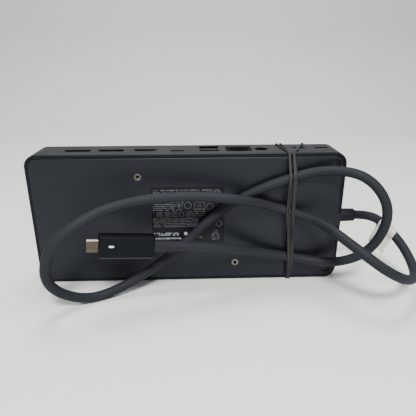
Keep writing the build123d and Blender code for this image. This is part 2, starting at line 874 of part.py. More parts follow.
with BuildPart() as network_contacts:
    with BuildSketch(Plane.XY.offset(network_front - network_bore_depth)):
        with Locations((network_x, contact_y)):
            with GridLocations(contact_pitch, 1.0, contact_count, 1):
                Rectangle(contact_width, contact_width)
    extrude(amount=contact_length)
save(network_contacts.part, "network_contacts")

power_x = rear_x[6]
power_front = rear_z - port_recess
with BuildPart() as power_jack:
    with BuildSketch(Plane.XY.offset(power_front)):
        with Locations((power_x, power_y)):
            Circle(power_nose_radius)
    extrude(amount=-power_depth)
    with BuildSketch(Plane.XY.offset(rear_z - wall - board_gap)):
        with Locations((power_x, board_y)):
            Rectangle(power_body_width, power_rise + power_nose_radius + power_body_wall,
                      align=(Align.CENTER, Align.MIN))
    extrude(amount=-power_depth)
    with BuildSketch(Plane.XY.offset(power_front)):
        with Locations((power_x, power_y)):
            Circle(power_bore_radius)
    extrude(amount=-power_bore_depth, mode=Mode.SUBTRACT)
save(power_jack.part, "power_jack_body")

with BuildPart() as power_contacts:
    with BuildSketch(Plane.XY.offset(power_front - power_sleeve_setback)):
        with Locations((power_x, power_y)):
            Circle(power_bore_radius - fit / 2)
            Circle(power_bore_radius - power_sleeve_wall, mode=Mode.SUBTRACT)
    extrude(amount=-(power_bore_depth - power_sleeve_setback))
    with BuildSketch(Plane.XY.offset(power_front - power_bore_depth)):
        with Locations((power_x, power_y)):
            Circle(power_pin_radius)
    extrude(amount=power_bore_depth - power_pin_setback)
save(power_contacts.part, "power_jack_contacts")

# ------------------------------------------------------------------ power button
switch_top_y = board_y + switch_height
plunger_tip_y = switch_top_y + plunger_proud
button_place = (button_x, button_height)
with BuildPart() as power_button:
    with BuildSketch(layer(top_y + button_proud)):
        with Locations(button_place):
            Circle(button_radius)
    extrude(amount=button_proud + top_wall + button_rest_gap)
    chamfer(faces().sort_by(Axis.Y)[-1].edges(), length=button_edge)
    with BuildSketch(layer(ceiling_y - button_rest_gap)):
        with Locations(button_place):
            Circle(button_radius + button_flange)
    extrude(amount=button_flange_thickness)
    with BuildSketch(layer(ceiling_y - button_rest_gap)):
        with Locations(button_place):
            Circle(button_stem_radius)
    extrude(amount=ceiling_y - button_rest_gap - plunger_tip_y)
save(power_button.part, "power_button")

with BuildPart() as switch_plunger:
    with BuildSketch(layer(plunger_tip_y)):
        with Locations(button_place):
            Circle(plunger_radius)
    extrude(amount=plunger_length)
save(switch_plunger.part, "switch_plunger")

with BuildPart() as button_switch:
    with BuildSketch(layer(switch_top_y)):
        with Locations(button_place):
            RectangleRounded(switch_size, switch_size, block_corner)
    extrude(amount=switch_height)
    with BuildSketch(layer(switch_top_y)):
        with Locations(button_place):
            Circle(plunger_radius + plunger_clearance)
    extrude(amount=plunger_length - plunger_proud + button_travel + 3 * fit, mode=Mode.SUBTRACT)
save(button_switch.part, "button_switch")

# ------------------------------------------------------------------ gland, clamp and cable tail
with BuildPart() as cable_gland:
    with BuildSketch(Plane.YZ.offset(flange_x - gland_flange_thickness)):
        with Locations((gland_y, gland_z)):
            Circle(gland_flange_radius)
    extrude(amount=gland_flange_thickness)
    with BuildSketch(Plane.YZ.offset(flange_x)):
        with Locations((gland_y, gland_z)):
            Circle(gland_neck_radius)
    extrude(amount=wall + 2 * fit)
    with BuildSketch(Plane.YZ.offset(right_x + fit)):
        with Locations((gland_y, gland_z)):
            Circle(gland_radius)
    with BuildSketch(Plane.YZ.offset(right_x + gland_length)):
        with Locations((gland_y, gland_z)):
            Circle(gland_end_radius)
    loft()
    chamfer(faces().sort_by(Axis.X)[-1].edges(), length=gland_end_chamfer)
save(cable_gland.part, "cable_gland")

with BuildPart() as cable_tail:
    with BuildSketch(Plane.YZ.offset(flange_x - gland_flange_thickness)):
        with Locations((gland_y, gland_z)):
            Circle(tail_radius)
    extrude(amount=-(flange_x - gland_flange_thickness - connector_right))
save(cable_tail.part, "cable_tail")

with BuildPart() as cable_connector:
    with BuildSketch(layer(module_board_under_y)):
        with Locations((connector_right - fit, gland_z - mid_z)):
            Rectangle(connector_length, connector_width, align=(Align.MAX, Align.CENTER))
    extrude(amount=connector_height)
save(cable_connector.part, "cable_connector")

with BuildPart() as cable_clamp:
    with BuildSketch(Plane.YZ.offset(clamp_x - clamp_width / 2)):
        with Locations((module_board_under_y, gland_z)):
            Rectangle(clamp_thickness, 2 * clamp_reach, align=(Align.MAX, Align.CENTER))
        with Locations((gland_y, gland_z)):
            Circle(tail_radius + fit + clamp_thickness)
        with Locations((module_board_under_y, gland_z)):
            Rectangle(body_height, 2 * clamp_reach, align=(Align.MIN, Align.CENTER),
                      mode=Mode.SUBTRACT)
        with Locations((gland_y, gland_z)):
            Circle(tail_radius + fit, mode=Mode.SUBTRACT)
    extrude(amount=clamp_width)
    with BuildSketch(layer(clamp_y)):
        with Locations(*clamp_screw_places):
            Circle(screw_radius + fit)
    extrude(amount=-clamp_thickness, mode=Mode.SUBTRACT)
save(cable_clamp.part, "cable_clamp")

# ------------------------------------------------------------------ the lead
# Its route, with heights over the casing's lower edge: out of the gland, round to the left
# end, back to the right end and round again to the plug.
lead_route = [
    (right_x + gland_length, gland_y, gland_rise), (128, -4, 43.5), (140, -6, 35), (151, -18, 21),
    (147, -44, 13), (120, -66, 28), (95, -51, 45), (84, -26, 49), (59, -15.5, 54), (36, -29, 64),
    (12, -32, 68), (-13, -35, 69), (-38, -43, 68), (-59, -54, 63), (-79, -62, 48), (-85, -56, 20),
    (-66, -41, 1), (-42, -32, 6), (-21, -27, 18.5), (0, -22, 34), (18, -18, 51), (40, -18, 65),
    (63, -18, 74), (88, -19, 81), (112, -31, 80), (127, -37, 58), (119, -33, 29), (99, -25, 16),
    (75, -17, 17), (51, -20, 23), (27, -31, 32), (5, -37, 37), (-9, -40, 38.7),
]
route = [Vector(x, y, z + lift) for x, y, z in lead_route]
radii = []
for before, here, after in zip(route, route[1:], route[2:]):
    turn = math.radians((here - before).get_angle(after - here))
    shorter = min((here - before).length, (after - here).length)
    radii.append(bend_share * shorter / math.tan(turn / 2))
print("bend radii:", [round(radius, 1) for radius in radii])

with BuildPart() as cord:
    with BuildLine() as lead_line:
        FilletPolyline(*route, radius=radii)
    with BuildSketch(Plane(origin=route[0], z_dir=(1, 0, 0))):
        Circle(cord_diameter / 2)
    sweep()
lead_length = sum(edge.length for edge in lead_line.edges())
print("lead length:", round(lead_length, 1), "volume check:",
      round(cord.part.volume / (lead_length * math.pi * (cord_diameter / 2) ** 2), 4))
save(cord.part, "cord")

# A blank paper flag round the lead, hanging from it.
tag_from = route[1] + (route[2] - route[1]) * tag_start
tag_to = route[2] + (route[3] - route[2]) * tag_end
tag_axis = (tag_to - tag_from).normalized()
tag_down = Vector(tag_hang)
tag_fall = (tag_down - tag_axis * tag_down.dot(tag_axis)).normalized()
with BuildPart() as cord_tag:
    with BuildSketch(Plane(origin=tag_from, x_dir=tag_fall, z_dir=tag_axis)):
        Circle(tag_sleeve_radius)
        Rectangle(tag_sleeve_radius + tag_drop, tag_thickness, align=(Align.MIN, Align.CENTER))
    extrude(amount=(tag_to - tag_from).length)
save(cord_tag.part, "cord_tag")

# ------------------------------------------------------------------ the plug
plug_axis = (route[-1] - route[-2]).normalized()
plug_face = (Vector(0, 0, 1) - plug_axis * plug_axis.Z).normalized()
relief_end = route[-1] + plug_axis * relief_length
housing_end = relief_end + plug_axis * housing_length


def plug_plane(origin):
    """Across the plug: local x is its width, local z runs towards the plug's mouth."""
    return Plane(origin=origin, x_dir=plug_face, z_dir=plug_axis)


with BuildPart() as plug_relief:
    with BuildSketch(plug_plane(route[-1])):
        Circle(relief_start_radius)
    with BuildSketch(plug_plane(relief_end)):
        RectangleRounded(relief_end_width, relief_end_height, relief_corner)
    loft()
save(plug_relief.part, "plug_strain_relief")

with BuildPart() as plug_housing:
    with BuildSketch(plug_plane(relief_end)):
        RectangleRounded(housing_width, housing_height, housing_corner)
    extrude(amount=housing_length)
    chamfer(faces().sort_by(Axis((0, 0, 0), plug_axis))[0].edges(), length=housing_edge)
    chamfer(faces().sort_by(Axis((0, 0, 0), plug_axis))[-1].edges(), length=housing_edge)
    with BuildSketch(plug_plane(housing_end)):
        SlotOverall(plug_shell_width + fit, plug_shell_height + fit)
    extrude(amount=-plug_shell_set_in, mode=Mode.SUBTRACT)
    lamp_plane = Plane(
        origin=housing_end - plug_axis * lamp_setback + Vector(0, 0, lamp_rise),
        x_dir=plug_axis,
        z_dir=plug_face.cross(plug_axis),
    )
    with BuildSketch(lamp_plane.offset(housing_height / 2)):
        SlotOverall(lamp_length + fit, lamp_width + fit)
    extrude(amount=-lamp_depth, mode=Mode.SUBTRACT)
save(plug_housing.part, "plug_housing")

with BuildPart() as plug_lamp:
    with BuildSketch(lamp_plane.offset(housing_height / 2 - lamp_depth)):
        SlotOverall(lamp_length, lamp_width)
    extrude(amount=lamp_depth)
save(plug_lamp.part, "plug_lamp")

with BuildPart() as plug_shell:
    with BuildSketch(plug_plane(housing_end - plug_axis * plug_shell_set_in)):
        SlotOverall(plug_shell_width, plug_shell_height)
    extrude(amount=plug_shell_set_in + plug_shell_length)
    with BuildSketch(plug_plane(housing_end + plug_axis * plug_shell_length)):
        SlotOverall(plug_shell_width - 2 * plug_shell_wall, plug_shell_height - 2 * plug_shell_wall)
    extrude(amount=-plug_shell_length, mode=Mode.SUBTRACT)
save(plug_shell.part, "plug_shell")

with BuildPart() as plug_carrier:
    with BuildSketch(plug_plane(housing_end)):
        SlotOverall(plug_shell_width - 2 * plug_shell_wall - fit,
                    plug_shell_height - 2 * plug_shell_wall - fit)
        Rectangle(plug_slot_width, plug_slot_height, mode=Mode.SUBTRACT)
    extrude(amount=plug_shell_length - plug_carrier_setback)
save(plug_carrier.part, "plug_contact_carrier")

# ------------------------------------------------------------------ rubber bands
band_low_y = under_y - band_clear
band_high_y = top_y + band_clear
band_top_z = rear_z + band_clear
band_inner = [(band_low_y, band_top_z)]
band_inner += band_crowns
band_inner += [(band_low_y, front_z - band_clear), (band_high_y, front_z - band_clear)]
band_inner += [(band_high_y, band_top_z)]
band_outer = [(band_low_y - band_thickness, band_top_z + band_thickness)]
band_outer += [(y - band_thickness, z) for y, z in band_crowns]
band_outer += [(band_low_y - band_thickness, 0), (band_high_y + band_thickness, 0)]
band_outer += [(band_high_y + band_thickness, band_top_z + band_thickness)]


def band_mask(width, x_top, x_low, x_back):
    """Four slanted slabs that give a straight strand its drift along the body."""
    edge = body_height / 2 - cut_over
    high = rear_z + band_reach
    with BuildPart() as mask:
        with BuildSketch(Plane.XZ.offset(edge)):
            Polygon((x_top, rear_z), (x_top + width, rear_z), (x_low + width, front_z),
                    (x_low, front_z), align=None)
            Polygon((x_top, rear_z), (x_top + width, rear_z), (x_top + width, high),
                    (x_top, high), align=None)
            Polygon((x_low, front_z), (x_low + width, front_z), (x_low + width, band_low),
                    (x_low, band_low), align=None)
        extrude(amount=band_reach)
        with BuildSketch(Plane.XY.offset(rear_z)):
            Polygon((x_top, -edge), (x_top + width, -edge), (x_back + width, edge),
                    (x_back, edge), align=None)
        extrude(amount=band_reach)
        with BuildSketch(Plane.XY.offset(front_z)):
            Polygon((x_low, -edge), (x_low + width, -edge), (x_low + width, edge),
                    (x_low, edge), align=None)
        extrude(amount=-band_reach)
        with BuildSketch(Plane.XZ.offset(-edge)):
            Polygon((x_back, rear_z), (x_back + width, rear_z), (x_low + width, front_z),
                    (x_low, front_z), align=None)
            Polygon((x_back, rear_z), (x_back + width, rear_z), (x_back + width, high),
                    (x_back, high), align=None)
            Polygon((x_low, front_z), (x_low + width, front_z), (x_low + width, band_low),
                    (x_low, band_low), align=None)
        extrude(amount=-band_reach)
    return mask.part


def band_strand(width, at_rear, at_front, at_back):
    """One stretched strand round the body and over the lead."""
    mask = band_mask(width, seam_x + at_rear, seam_x + at_front, seam_x + at_back)
    with BuildPart() as strand:
        with BuildSketch(Plane.YZ.offset(seam_x - band_reach)):
            Polygon(*band_outer, align=None)
            Polygon(*band_inner, align=None, mode=Mode.SUBTRACT)
        extrude(amount=2 * band_reach)
        add(mask, mode=Mode.INTERSECT)
    return strand.part


for name, strands in band_strands.items():
    pieces = [band_strand(*strand) for strand in strands]
    with BuildPart() as band:
        for piece in pieces:
            add(piece)
    save(band.part, name)
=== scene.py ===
import json
import math

import bpy
from mathutils import Matrix, Vector


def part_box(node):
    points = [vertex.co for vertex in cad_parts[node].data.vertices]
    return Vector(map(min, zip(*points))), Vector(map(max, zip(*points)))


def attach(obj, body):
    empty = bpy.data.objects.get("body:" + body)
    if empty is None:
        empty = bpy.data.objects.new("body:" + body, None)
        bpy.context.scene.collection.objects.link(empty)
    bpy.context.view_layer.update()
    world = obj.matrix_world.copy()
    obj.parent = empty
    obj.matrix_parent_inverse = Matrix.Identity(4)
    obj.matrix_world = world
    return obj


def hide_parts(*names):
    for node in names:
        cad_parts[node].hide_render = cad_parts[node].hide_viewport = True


# A laptop docking station on its long edge, its captive lead wound up against its underside.
# X runs along the casing, -Y is the underside, +Z the rear face with the sockets. Metres.
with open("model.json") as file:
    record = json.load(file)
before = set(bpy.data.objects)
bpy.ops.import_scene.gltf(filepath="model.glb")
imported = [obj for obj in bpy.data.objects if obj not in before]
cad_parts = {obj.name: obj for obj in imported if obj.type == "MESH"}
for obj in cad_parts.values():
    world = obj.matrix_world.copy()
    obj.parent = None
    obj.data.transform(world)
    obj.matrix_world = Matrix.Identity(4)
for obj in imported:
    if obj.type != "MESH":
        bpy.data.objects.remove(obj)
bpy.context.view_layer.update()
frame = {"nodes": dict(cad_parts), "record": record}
nodes = frame["nodes"]
MM = 0.001


# ---------------------------------------- small helpers
def link_object(name, data):
    """A new object in the scene."""
    thing = bpy.data.objects.new(name, data)
    bpy.context.scene.collection.objects.link(thing)
    return thing


def place_piece(name, mesh, body="casing"):
    """A finished mesh as a piece of its own, which rides on a body."""
    piece = link_object(name, mesh)
    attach(piece, body)
    return piece


def plain_mesh(name, points, faces, finish, smooth=True):
    """A mesh of one finish."""
    mesh = bpy.data.meshes.new(name)
    mesh.from_pydata([tuple(point) for point in points], [], faces)
    mesh.polygons.foreach_set("use_smooth", [smooth] * len(mesh.polygons))
    mesh.materials.append(finish)
    mesh.update()
    return mesh


def mesh_piece(name, points, faces, finish, body="casing", smooth=True):
    """A piece made straight from points and faces."""
    return place_piece(name, plain_mesh(name, points, faces, finish, smooth), body)


def ribbon_faces(pairs):
    """The quads of a strip, from how many pairs of points it has."""
    return [(2 * i, 2 * i + 1, 2 * i + 3, 2 * i + 2) for i in range(pairs - 1)]


def sleeve_faces(rings, sides, closed=False):
    """The quads between rings of points, and from the last ring to the first where it closes."""
    return [(i * sides + k, i * sides + (k + 1) % sides,
             (i + 1) % rings * sides + (k + 1) % sides, (i + 1) % rings * sides + k)
            for i in range(rings if closed else rings - 1) for k in range(sides)]


def shifted(faces, start):
    """Faces renumbered for points that come after others."""
    return [tuple(corner + start for corner in face) for face in faces]


def scaled(tone, share):
    """A tone made darker or lighter."""
    return tuple(channel * share for channel in tone)


# ---------------------------------------- finishes
class Finish:
    """A material under construction: its nodes, and short calls for the patterns it is built of."""

    def __init__(self, name, roughness, metallic=0.0, coat=0.0, ior=1.5, specular=0.5,
                 tint=(1.0, 1.0, 1.0)):
        self.material = bpy.data.materials.new(name)
        self.material.use_nodes = True
        self.nodes = self.material.node_tree.nodes
        self.links = self.material.node_tree.links
        self.shader = self.nodes["Principled BSDF"]
        self.shader.inputs["Roughness"].default_value = roughness
        self.shader.inputs["Metallic"].default_value = metallic
        self.shader.inputs["Coat Weight"].default_value = coat
        self.shader.inputs["IOR"].default_value = ior
        self.shader.inputs["Specular IOR Level"].default_value = specular
        self.shader.inputs["Specular Tint"].default_value = (*tint, 1)
        self.place = self.nodes.new("ShaderNodeTexCoord").outputs["Object"]

    def noise(self, scale, detail=3.0, roughness=0.55, vector=None, stretch=None):
        """A noise field over the piece, scale in features per metre."""
        source = vector or self.place
        if stretch:
            mapping = self.nodes.new("ShaderNodeMapping")
            mapping.inputs["Scale"].default_value = stretch
            self.links.new(source, mapping.inputs["Vector"])
            source = mapping.outputs["Vector"]
        node = self.nodes.new("ShaderNodeTexNoise")
        node.inputs["Scale"].default_value = scale
        node.inputs["Detail"].default_value = detail
        node.inputs["Roughness"].default_value = roughness
        self.links.new(source, node.inputs["Vector"])
        return node.outputs["Fac"]

    def ramp(self, field, *stops):
        """Maps a field to colours or greys at (position, value) stops."""
        node = self.nodes.new("ShaderNodeValToRGB")
        elements = node.color_ramp.elements
        while len(elements) < len(stops):
            elements.new(0.5)
        for element, (position, value) in zip(elements, stops):
            element.position = position
            element.color = (*value, 1) if isinstance(value, tuple) else (value, value, value, 1)
        self.links.new(field, node.inputs["Fac"])
        return node.outputs["Color"]

    def mottle(self, field, low, high):
        """Maps the middle of a noise field from one colour or grey to another."""
        return self.ramp(field, (0.3, low), (0.7, high))

    def reckon(self, operation, field, number=None):
        """A sum on a field, with a number where the operation takes one."""
        node = self.nodes.new("ShaderNodeMath")
        node.operation = operation
        self.links.new(field, node.inputs[0])
        if number is not None:
            node.inputs[1].default_value = number
        return node.outputs[0]

    def part(self, vector, axis):
        """A vector's share along one axis."""
        node = self.nodes.new("ShaderNodeSeparateXYZ")
        self.links.new(vector, node.inputs["Vector"])
        return node.outputs[axis]

    def mark(self, name):
        """A measure that is stored on the piece's own points."""
        node = self.nodes.new("ShaderNodeAttribute")
        node.attribute_name = name
        return node.outputs["Fac"]

    def blend(self, field, first, second, mode="MIX"):
        """Mixes two colours, or a colour and a colour field, by a field or a plain share."""
        node = self.nodes.new("ShaderNodeMix")
        node.data_type = "RGBA"
        node.blend_type = mode
        for socket, value in ((node.inputs[0], field), (node.inputs[6], first),
                              (node.inputs[7], second)):
            if isinstance(value, bpy.types.NodeSocket):
                self.links.new(value, socket)
            elif isinstance(value, tuple):
                socket.default_value = (*value, 1)
            else:
                socket.default_value = value
        return node.outputs[2]

    def edges(self, radius, low, high):
        """1 along edges and 0 on open faces: how far a rounded normal leaves the true one."""
        bevel = self.nodes.new("ShaderNodeBevel")
        bevel.samples = 6
        bevel.inputs["Radius"].default_value = radius
        geometry = self.nodes.new("ShaderNodeNewGeometry")
        dot = self.nodes.new("ShaderNodeVectorMath")
        dot.operation = "DOT_PRODUCT"
        self.links.new(bevel.outputs["Normal"], dot.inputs[0])
        self.links.new(geometry.outputs["Normal"], dot.inputs[1])
        return self.ramp(dot.outputs["Value"], (low, 1.0), (high, 0.0))

    def facing(self, axis, low, high, against=False):
        """0 to 1 as the surface turns to face along an axis, either way or only against it."""
        normal = self.nodes.new("ShaderNodeNewGeometry").outputs["Normal"]
        share = self.part(normal, axis)
        turned = self.reckon("MULTIPLY", share, -1) if against else self.reckon("ABSOLUTE", share)
        return self.ramp(turned, (low, 0.0), (high, 1.0))

    def colour(self, value):
        """Gives the surface one colour or a field of colour."""
        if isinstance(value, tuple):
            self.shader.inputs["Base Color"].default_value = (*value, 1)
        else:
            self.links.new(value, self.shader.inputs["Base Color"])

    def gloss(self, field):
        """Lets a field set the roughness in place of one number."""
        self.links.new(field, self.shader.inputs["Roughness"])

    def relief(self, depth, *fields):
        """Bumps the surface by (share, field) pairs in turn, each its share of a depth in metres."""
        normal = None
        for share, field in fields:
            bump = self.nodes.new("ShaderNodeBump")
            bump.inputs["Strength"].default_value = 1.0
            bump.inputs["Distance"].default_value = depth * share
            self.links.new(field, bump.inputs["Height"])
            if normal:
                self.links.new(normal, bump.inputs["Normal"])
            normal = bump.outputs["Normal"]
        self.links.new(normal, self.shader.inputs["Normal"])


cool_gloss = (0.86, 0.93, 1.0)
plastic_ior = 1.42
fine_grain = 0.000004
plating_depth = 0.000003
rolled_lines = (1.0, 1.0, 14.0)


def casing_texture(name, tone, rough_low, rough_high, grain, sheen=0.35, rubbed_and_highlight_share=0.45,
                   rim=1.0):
    """Dark moulded casing: spark-eroded grain, handling marks, dust, and edges lightened partly by
    rubbing and partly as a painted highlight.

    The rim is how much of its tone the casing keeps where it faces -Y, as a painted shade on those
    faces.
    """
    finish = Finish(name, rough_low, ior=plastic_ior, specular=sheen, tint=cool_gloss)
    marks = finish.noise(38, detail=5)
    dust = finish.ramp(finish.noise(900, detail=2, roughness=0.7), (0.70, 0.0), (0.82, 0.10))
    worn_and_highlit_edges = finish.edges(0.0006, 0.90, 0.985)
    skin = finish.mottle(marks, scaled(tone, 0.86), scaled(tone, 1.16))
    skin = finish.blend(dust, skin, (0.16, 0.16, 0.155))
    # Faces turned to -Y are painted darker by the rim share: painted shade, not a darker material.
    if rim < 1:
        skin = finish.blend(finish.facing("Y", 0.75, 0.97, against=True), skin, scaled(tone, rim))
    # Edges are lightened: partly real wear from rubbing, partly a painted highlight where they catch
    # the light.
    rubbed_and_highlit_tone = tuple(channel * 1.9 + 0.014 for channel in tone)
    worn_and_highlight_share = finish.blend(1.0, worn_and_highlit_edges, (rubbed_and_highlight_share, rubbed_and_highlight_share, rubbed_and_highlight_share), "MULTIPLY")
    finish.colour(finish.blend(worn_and_highlight_share, skin, rubbed_and_highlit_tone))
    finish.gloss(finish.ramp(marks, (0.25, rough_low), (0.75, rough_high)))
    finish.relief(grain, (1.0, finish.noise(3400, detail=2, roughness=0.6)),
                  (2.2, finish.noise(700, detail=1)))
    return finish.material


def smooth_moulding(name, tone, roughness, sheen, grain):
    """Plain moulded plastic or rubber with a fine even skin and faint mottling."""
    finish = Finish(name, roughness, ior=plastic_ior, specular=sheen)
    marks = finish.noise(140, detail=4)
    finish.colour(finish.mottle(marks, scaled(tone, 0.85), scaled(tone, 1.18)))
    finish.gloss(finish.mottle(marks, roughness - 0.05, roughness + 0.07))
    finish.relief(grain, (1.0, finish.noise(2600, detail=2)))
    return finish.material


def sheet_metal(name, tone, roughness):
    """Plated or rolled metal with fine lines one way and slight staining."""
    finish = Finish(name, roughness, metallic=1.0)
    lines = finish.noise(900, detail=3, stretch=rolled_lines)
    stain = finish.noise(260, detail=4)
    finish.colour(finish.ramp(stain, (0.28, scaled(tone, 0.72)), (0.62, tone)))
    finish.gloss(finish.mottle(lines, max(roughness - 0.1, 0.05), roughness + 0.12))
    finish.relief(plating_depth, (1.0, lines))
    return finish.material


def socket_sheet():
    """Dulled sheet: a faint rim where it faces out of the sockets, and a near-black painted shade
    down their throats.
    """
    finish = Finish("socket_steel", 0.5, metallic=1.0)
    stain = finish.noise(260, detail=4)
    rim = finish.ramp(stain, (0.3, (0.018, 0.018, 0.020)), (0.65, (0.030, 0.030, 0.032)))
    # Faces that don't look out of the sockets are painted near black, as shade down the throats.
    finish.colour(finish.blend(finish.facing("Z", 0.5, 0.9), (0.0035, 0.0035, 0.0038), rim))
    finish.relief(plating_depth, (1.0, finish.noise(900, detail=3, stretch=rolled_lines)))
    return finish.material


def turned_ring():
    """Turned metal: a dull bright face with fine staining, and a bore painted dark as shade."""
    finish = Finish("insert_metal", 0.36, metallic=1.0)
    face = finish.mottle(finish.noise(700, detail=3), (0.13, 0.122, 0.11), (0.25, 0.235, 0.21))
    # Surfaces that don't face -Y, down the bore, are painted near black as shade.
    finish.colour(finish.blend(finish.facing("Y", 0.6, 0.9, against=True),
                               (0.016, 0.016, 0.016), face))
    finish.relief(plating_depth, (1.0, finish.noise(2400, detail=2)))
    return finish.material


def board_mask():
    """Green solder mask with copper planes and fine tracks showing through."""
    finish = Finish("circuit_board", 0.32, coat=0.25)
    brick = finish.nodes.new("ShaderNodeTexBrick")
    brick.inputs["Scale"].default_value = 180
    brick.inputs["Color1"].default_value = (0.006, 0.075, 0.035, 1)
    brick.inputs["Color2"].default_value = (0.010, 0.110, 0.050, 1)
    brick.inputs["Mortar"].default_value = (0.004, 0.045, 0.022, 1)
    brick.inputs["Mortar Size"].default_value = 0.03
    turn = finish.nodes.new("ShaderNodeMapping")
    turn.inputs["Rotation"].default_value = (math.radians(90), 0, 0)
    finish.links.new(finish.place, turn.inputs["Vector"])
    finish.links.new(turn.outputs["Vector"], brick.inputs["Vector"])
    planes = finish.noise(60, detail=1)
    finish.colour(finish.blend(finish.ramp(planes, (0.47, 0.0), (0.52, 0.6)),
                               brick.outputs["Color"], (0.012, 0.13, 0.06)))
    finish.relief(0.00002, (1.0, brick.outputs["Fac"]))
    return finish.material


def paper_tag():
    """Blank laminated paper: pale, a little translucent, with faint fibres and soft creases, painted
    a little darker along the creases as shade.
    """
    finish = Finish("tag_paper", 0.42)
    fibres = finish.noise(1500, detail=4, stretch=(1.0, 1.0, 4.0))
    creases = finish.noise(160, detail=3)
    sheet = finish.mottle(fibres, (0.52, 0.51, 0.47), (0.66, 0.645, 0.60))
    # The sheet is painted darker where the crease field is high: painted shade in the creases.
    finish.colour(finish.blend(finish.ramp(creases, (0.35, 0.0), (0.75, 0.5)), sheet,
                               (0.42, 0.405, 0.37)))
    finish.shader.inputs["Transmission Weight"].default_value = 0.12
    finish.relief(0.00002, (1.0, creases), (0.4, fibres))
    return finish.material


def band_rubber(name, dark, light):
    """Stretched natural rubber: chalky, with fine cracks across the pull and dusty edges."""
    crack_rate = 9000  # radians a metre
    finish = Finish(name, 0.62, ior=1.45, specular=0.3)
    streaks = finish.noise(420, detail=4, stretch=(5.0, 5.0, 1.0))
    bloom = finish.ramp(finish.noise(70, detail=3), (0.4, 0.0), (0.8, 0.35))
    edge = finish.edges(0.00035, 0.72, 0.97)
    chalk = finish.blend(bloom, finish.mottle(streaks, dark, light), scaled(light, 1.5))
    dusty_edge = finish.blend(1.0, edge, (0.35, 0.35, 0.35), "MULTIPLY")
    finish.colour(finish.blend(dusty_edge, chalk, scaled(light, 1.35)))
    cracks = finish.reckon("SINE", finish.reckon("MULTIPLY", finish.mark("along"), crack_rate))
    finish.relief(0.00003, (1.0, streaks), (0.2, cracks))
    return finish.material


def lead_jacket():
    """Matt extruded jacket: fine lines along the lead, slight kink marks and dust."""
    finish = Finish("cord_jacket", 0.62, ior=plastic_ior, specular=0.17, tint=cool_gloss)
    turn = finish.reckon("MULTIPLY", finish.mark("around"), 2 * math.pi)
    wrap = finish.nodes.new("ShaderNodeCombineXYZ")
    finish.links.new(finish.reckon("COSINE", turn), wrap.inputs["X"])
    finish.links.new(finish.reckon("SINE", turn), wrap.inputs["Y"])
    finish.links.new(finish.mark("along"), wrap.inputs["Z"])
    skin = finish.noise(9, detail=4, vector=wrap.outputs["Vector"], stretch=(1, 1, 6))
    dust = finish.ramp(finish.noise(1100, detail=2, roughness=0.7), (0.70, 0.0), (0.84, 0.12))
    base = finish.mottle(finish.noise(30, detail=4),
                         (0.0126, 0.0141, 0.0174), (0.0164, 0.0182, 0.0220))
    finish.colour(finish.blend(dust, base, (0.15, 0.15, 0.145)))
    finish.gloss(finish.mottle(skin, 0.56, 0.68))
    finish.relief(0.000012, (1.0, skin), (0.6, finish.noise(2200, detail=2)))
    return finish.material


def ink(name, tone):
    """Flat printing ink, slightly uneven in cover."""
    finish = Finish(name, 0.5)
    cover = finish.noise(1300, detail=3)
    finish.colour(finish.ramp(cover, (0.25, scaled(tone, 0.55)), (0.6, tone)))
    return finish.material


def lamp_lens():
    """A milky lens over a lamp that is off, lit from outside only."""
    finish = Finish("lamp_lens", 0.25, coat=0.4)
    haze = finish.noise(900, detail=2)
    finish.colour(finish.mottle(haze, (0.66, 0.69, 0.71), (0.80, 0.83, 0.85)))
    finish.shader.inputs["Subsurface Weight"].default_value = 0.3
    finish.shader.inputs["Subsurface Radius"].default_value = (0.0004, 0.0004, 0.0004)
    return finish.material


def plug_sheet():
    """Nickel-plated sheet: warm and dim on the flats, with a painted highlight where it turns over
    its sides.
    """
    finish = Finish("plug_steel", 0.24, metallic=1.0)
    stain = finish.noise(700, detail=4)
    flat = finish.mottle(stain, (0.064, 0.051, 0.040), (0.104, 0.085, 0.067))
    # Faces turned up or down get a lighter tone: a painted highlight of the rounded sides.
    finish.colour(finish.blend(finish.facing("Z", 0.25, 0.7), flat, (0.17, 0.156, 0.13)))
    finish.relief(plating_depth, (1.0, finish.noise(1800, detail=2, stretch=(1.0, 1.0, 10.0))))
    return finish.material


def plug_moulding():
    """Near-black moulding: satin on its broad faces, glossier and painted darker as shade along its
    sides, paler underneath as a painted reflection of the floor.
    """
    finish = Finish("plug_plastic", 0.26, ior=plastic_ior, specular=0.09)
    marks = finish.noise(150, detail=4)
    face = finish.mottle(marks, (0.0036, 0.0048, 0.0061), (0.0050, 0.0064, 0.0081))
    # The sides facing up or down are painted darker: painted shade on its top side, and glossier as
    # well.
    sides = finish.facing("Z", 0.15, 0.65)
    toned = finish.blend(sides, face, (0.0022, 0.0030, 0.0040))
    # Faces turned down are painted paler: a painted reflection of the bright floor below.
    finish.colour(finish.blend(finish.facing("Z", 0.30, 0.75, against=True), toned,
                               (0.052, 0.060, 0.066)))
    finish.gloss(finish.ramp(sides, (0.0, 0.40), (0.35, 0.62), (0.8, 0.60), (1.0, 0.28)))
    finish.relief(fine_grain, (1.0, finish.noise(3000, detail=2)))
    return finish.material


# Plated and rolled metals, each with its tone and roughness.
metals = {
    "black_screw": ((0.045, 0.047, 0.052), 0.5),
    "board_screw": ((0.60, 0.60, 0.60), 0.30),
    "lock_steel": ((0.45, 0.45, 0.45), 0.35),
    "capacitor_can": ((0.65, 0.65, 0.67), 0.28),
    "spreader_aluminium": ((0.66, 0.66, 0.67), 0.36),
    "shield_steel": ((0.52, 0.52, 0.50), 0.32),
    "contact_metal": ((0.78, 0.58, 0.24), 0.22),
}
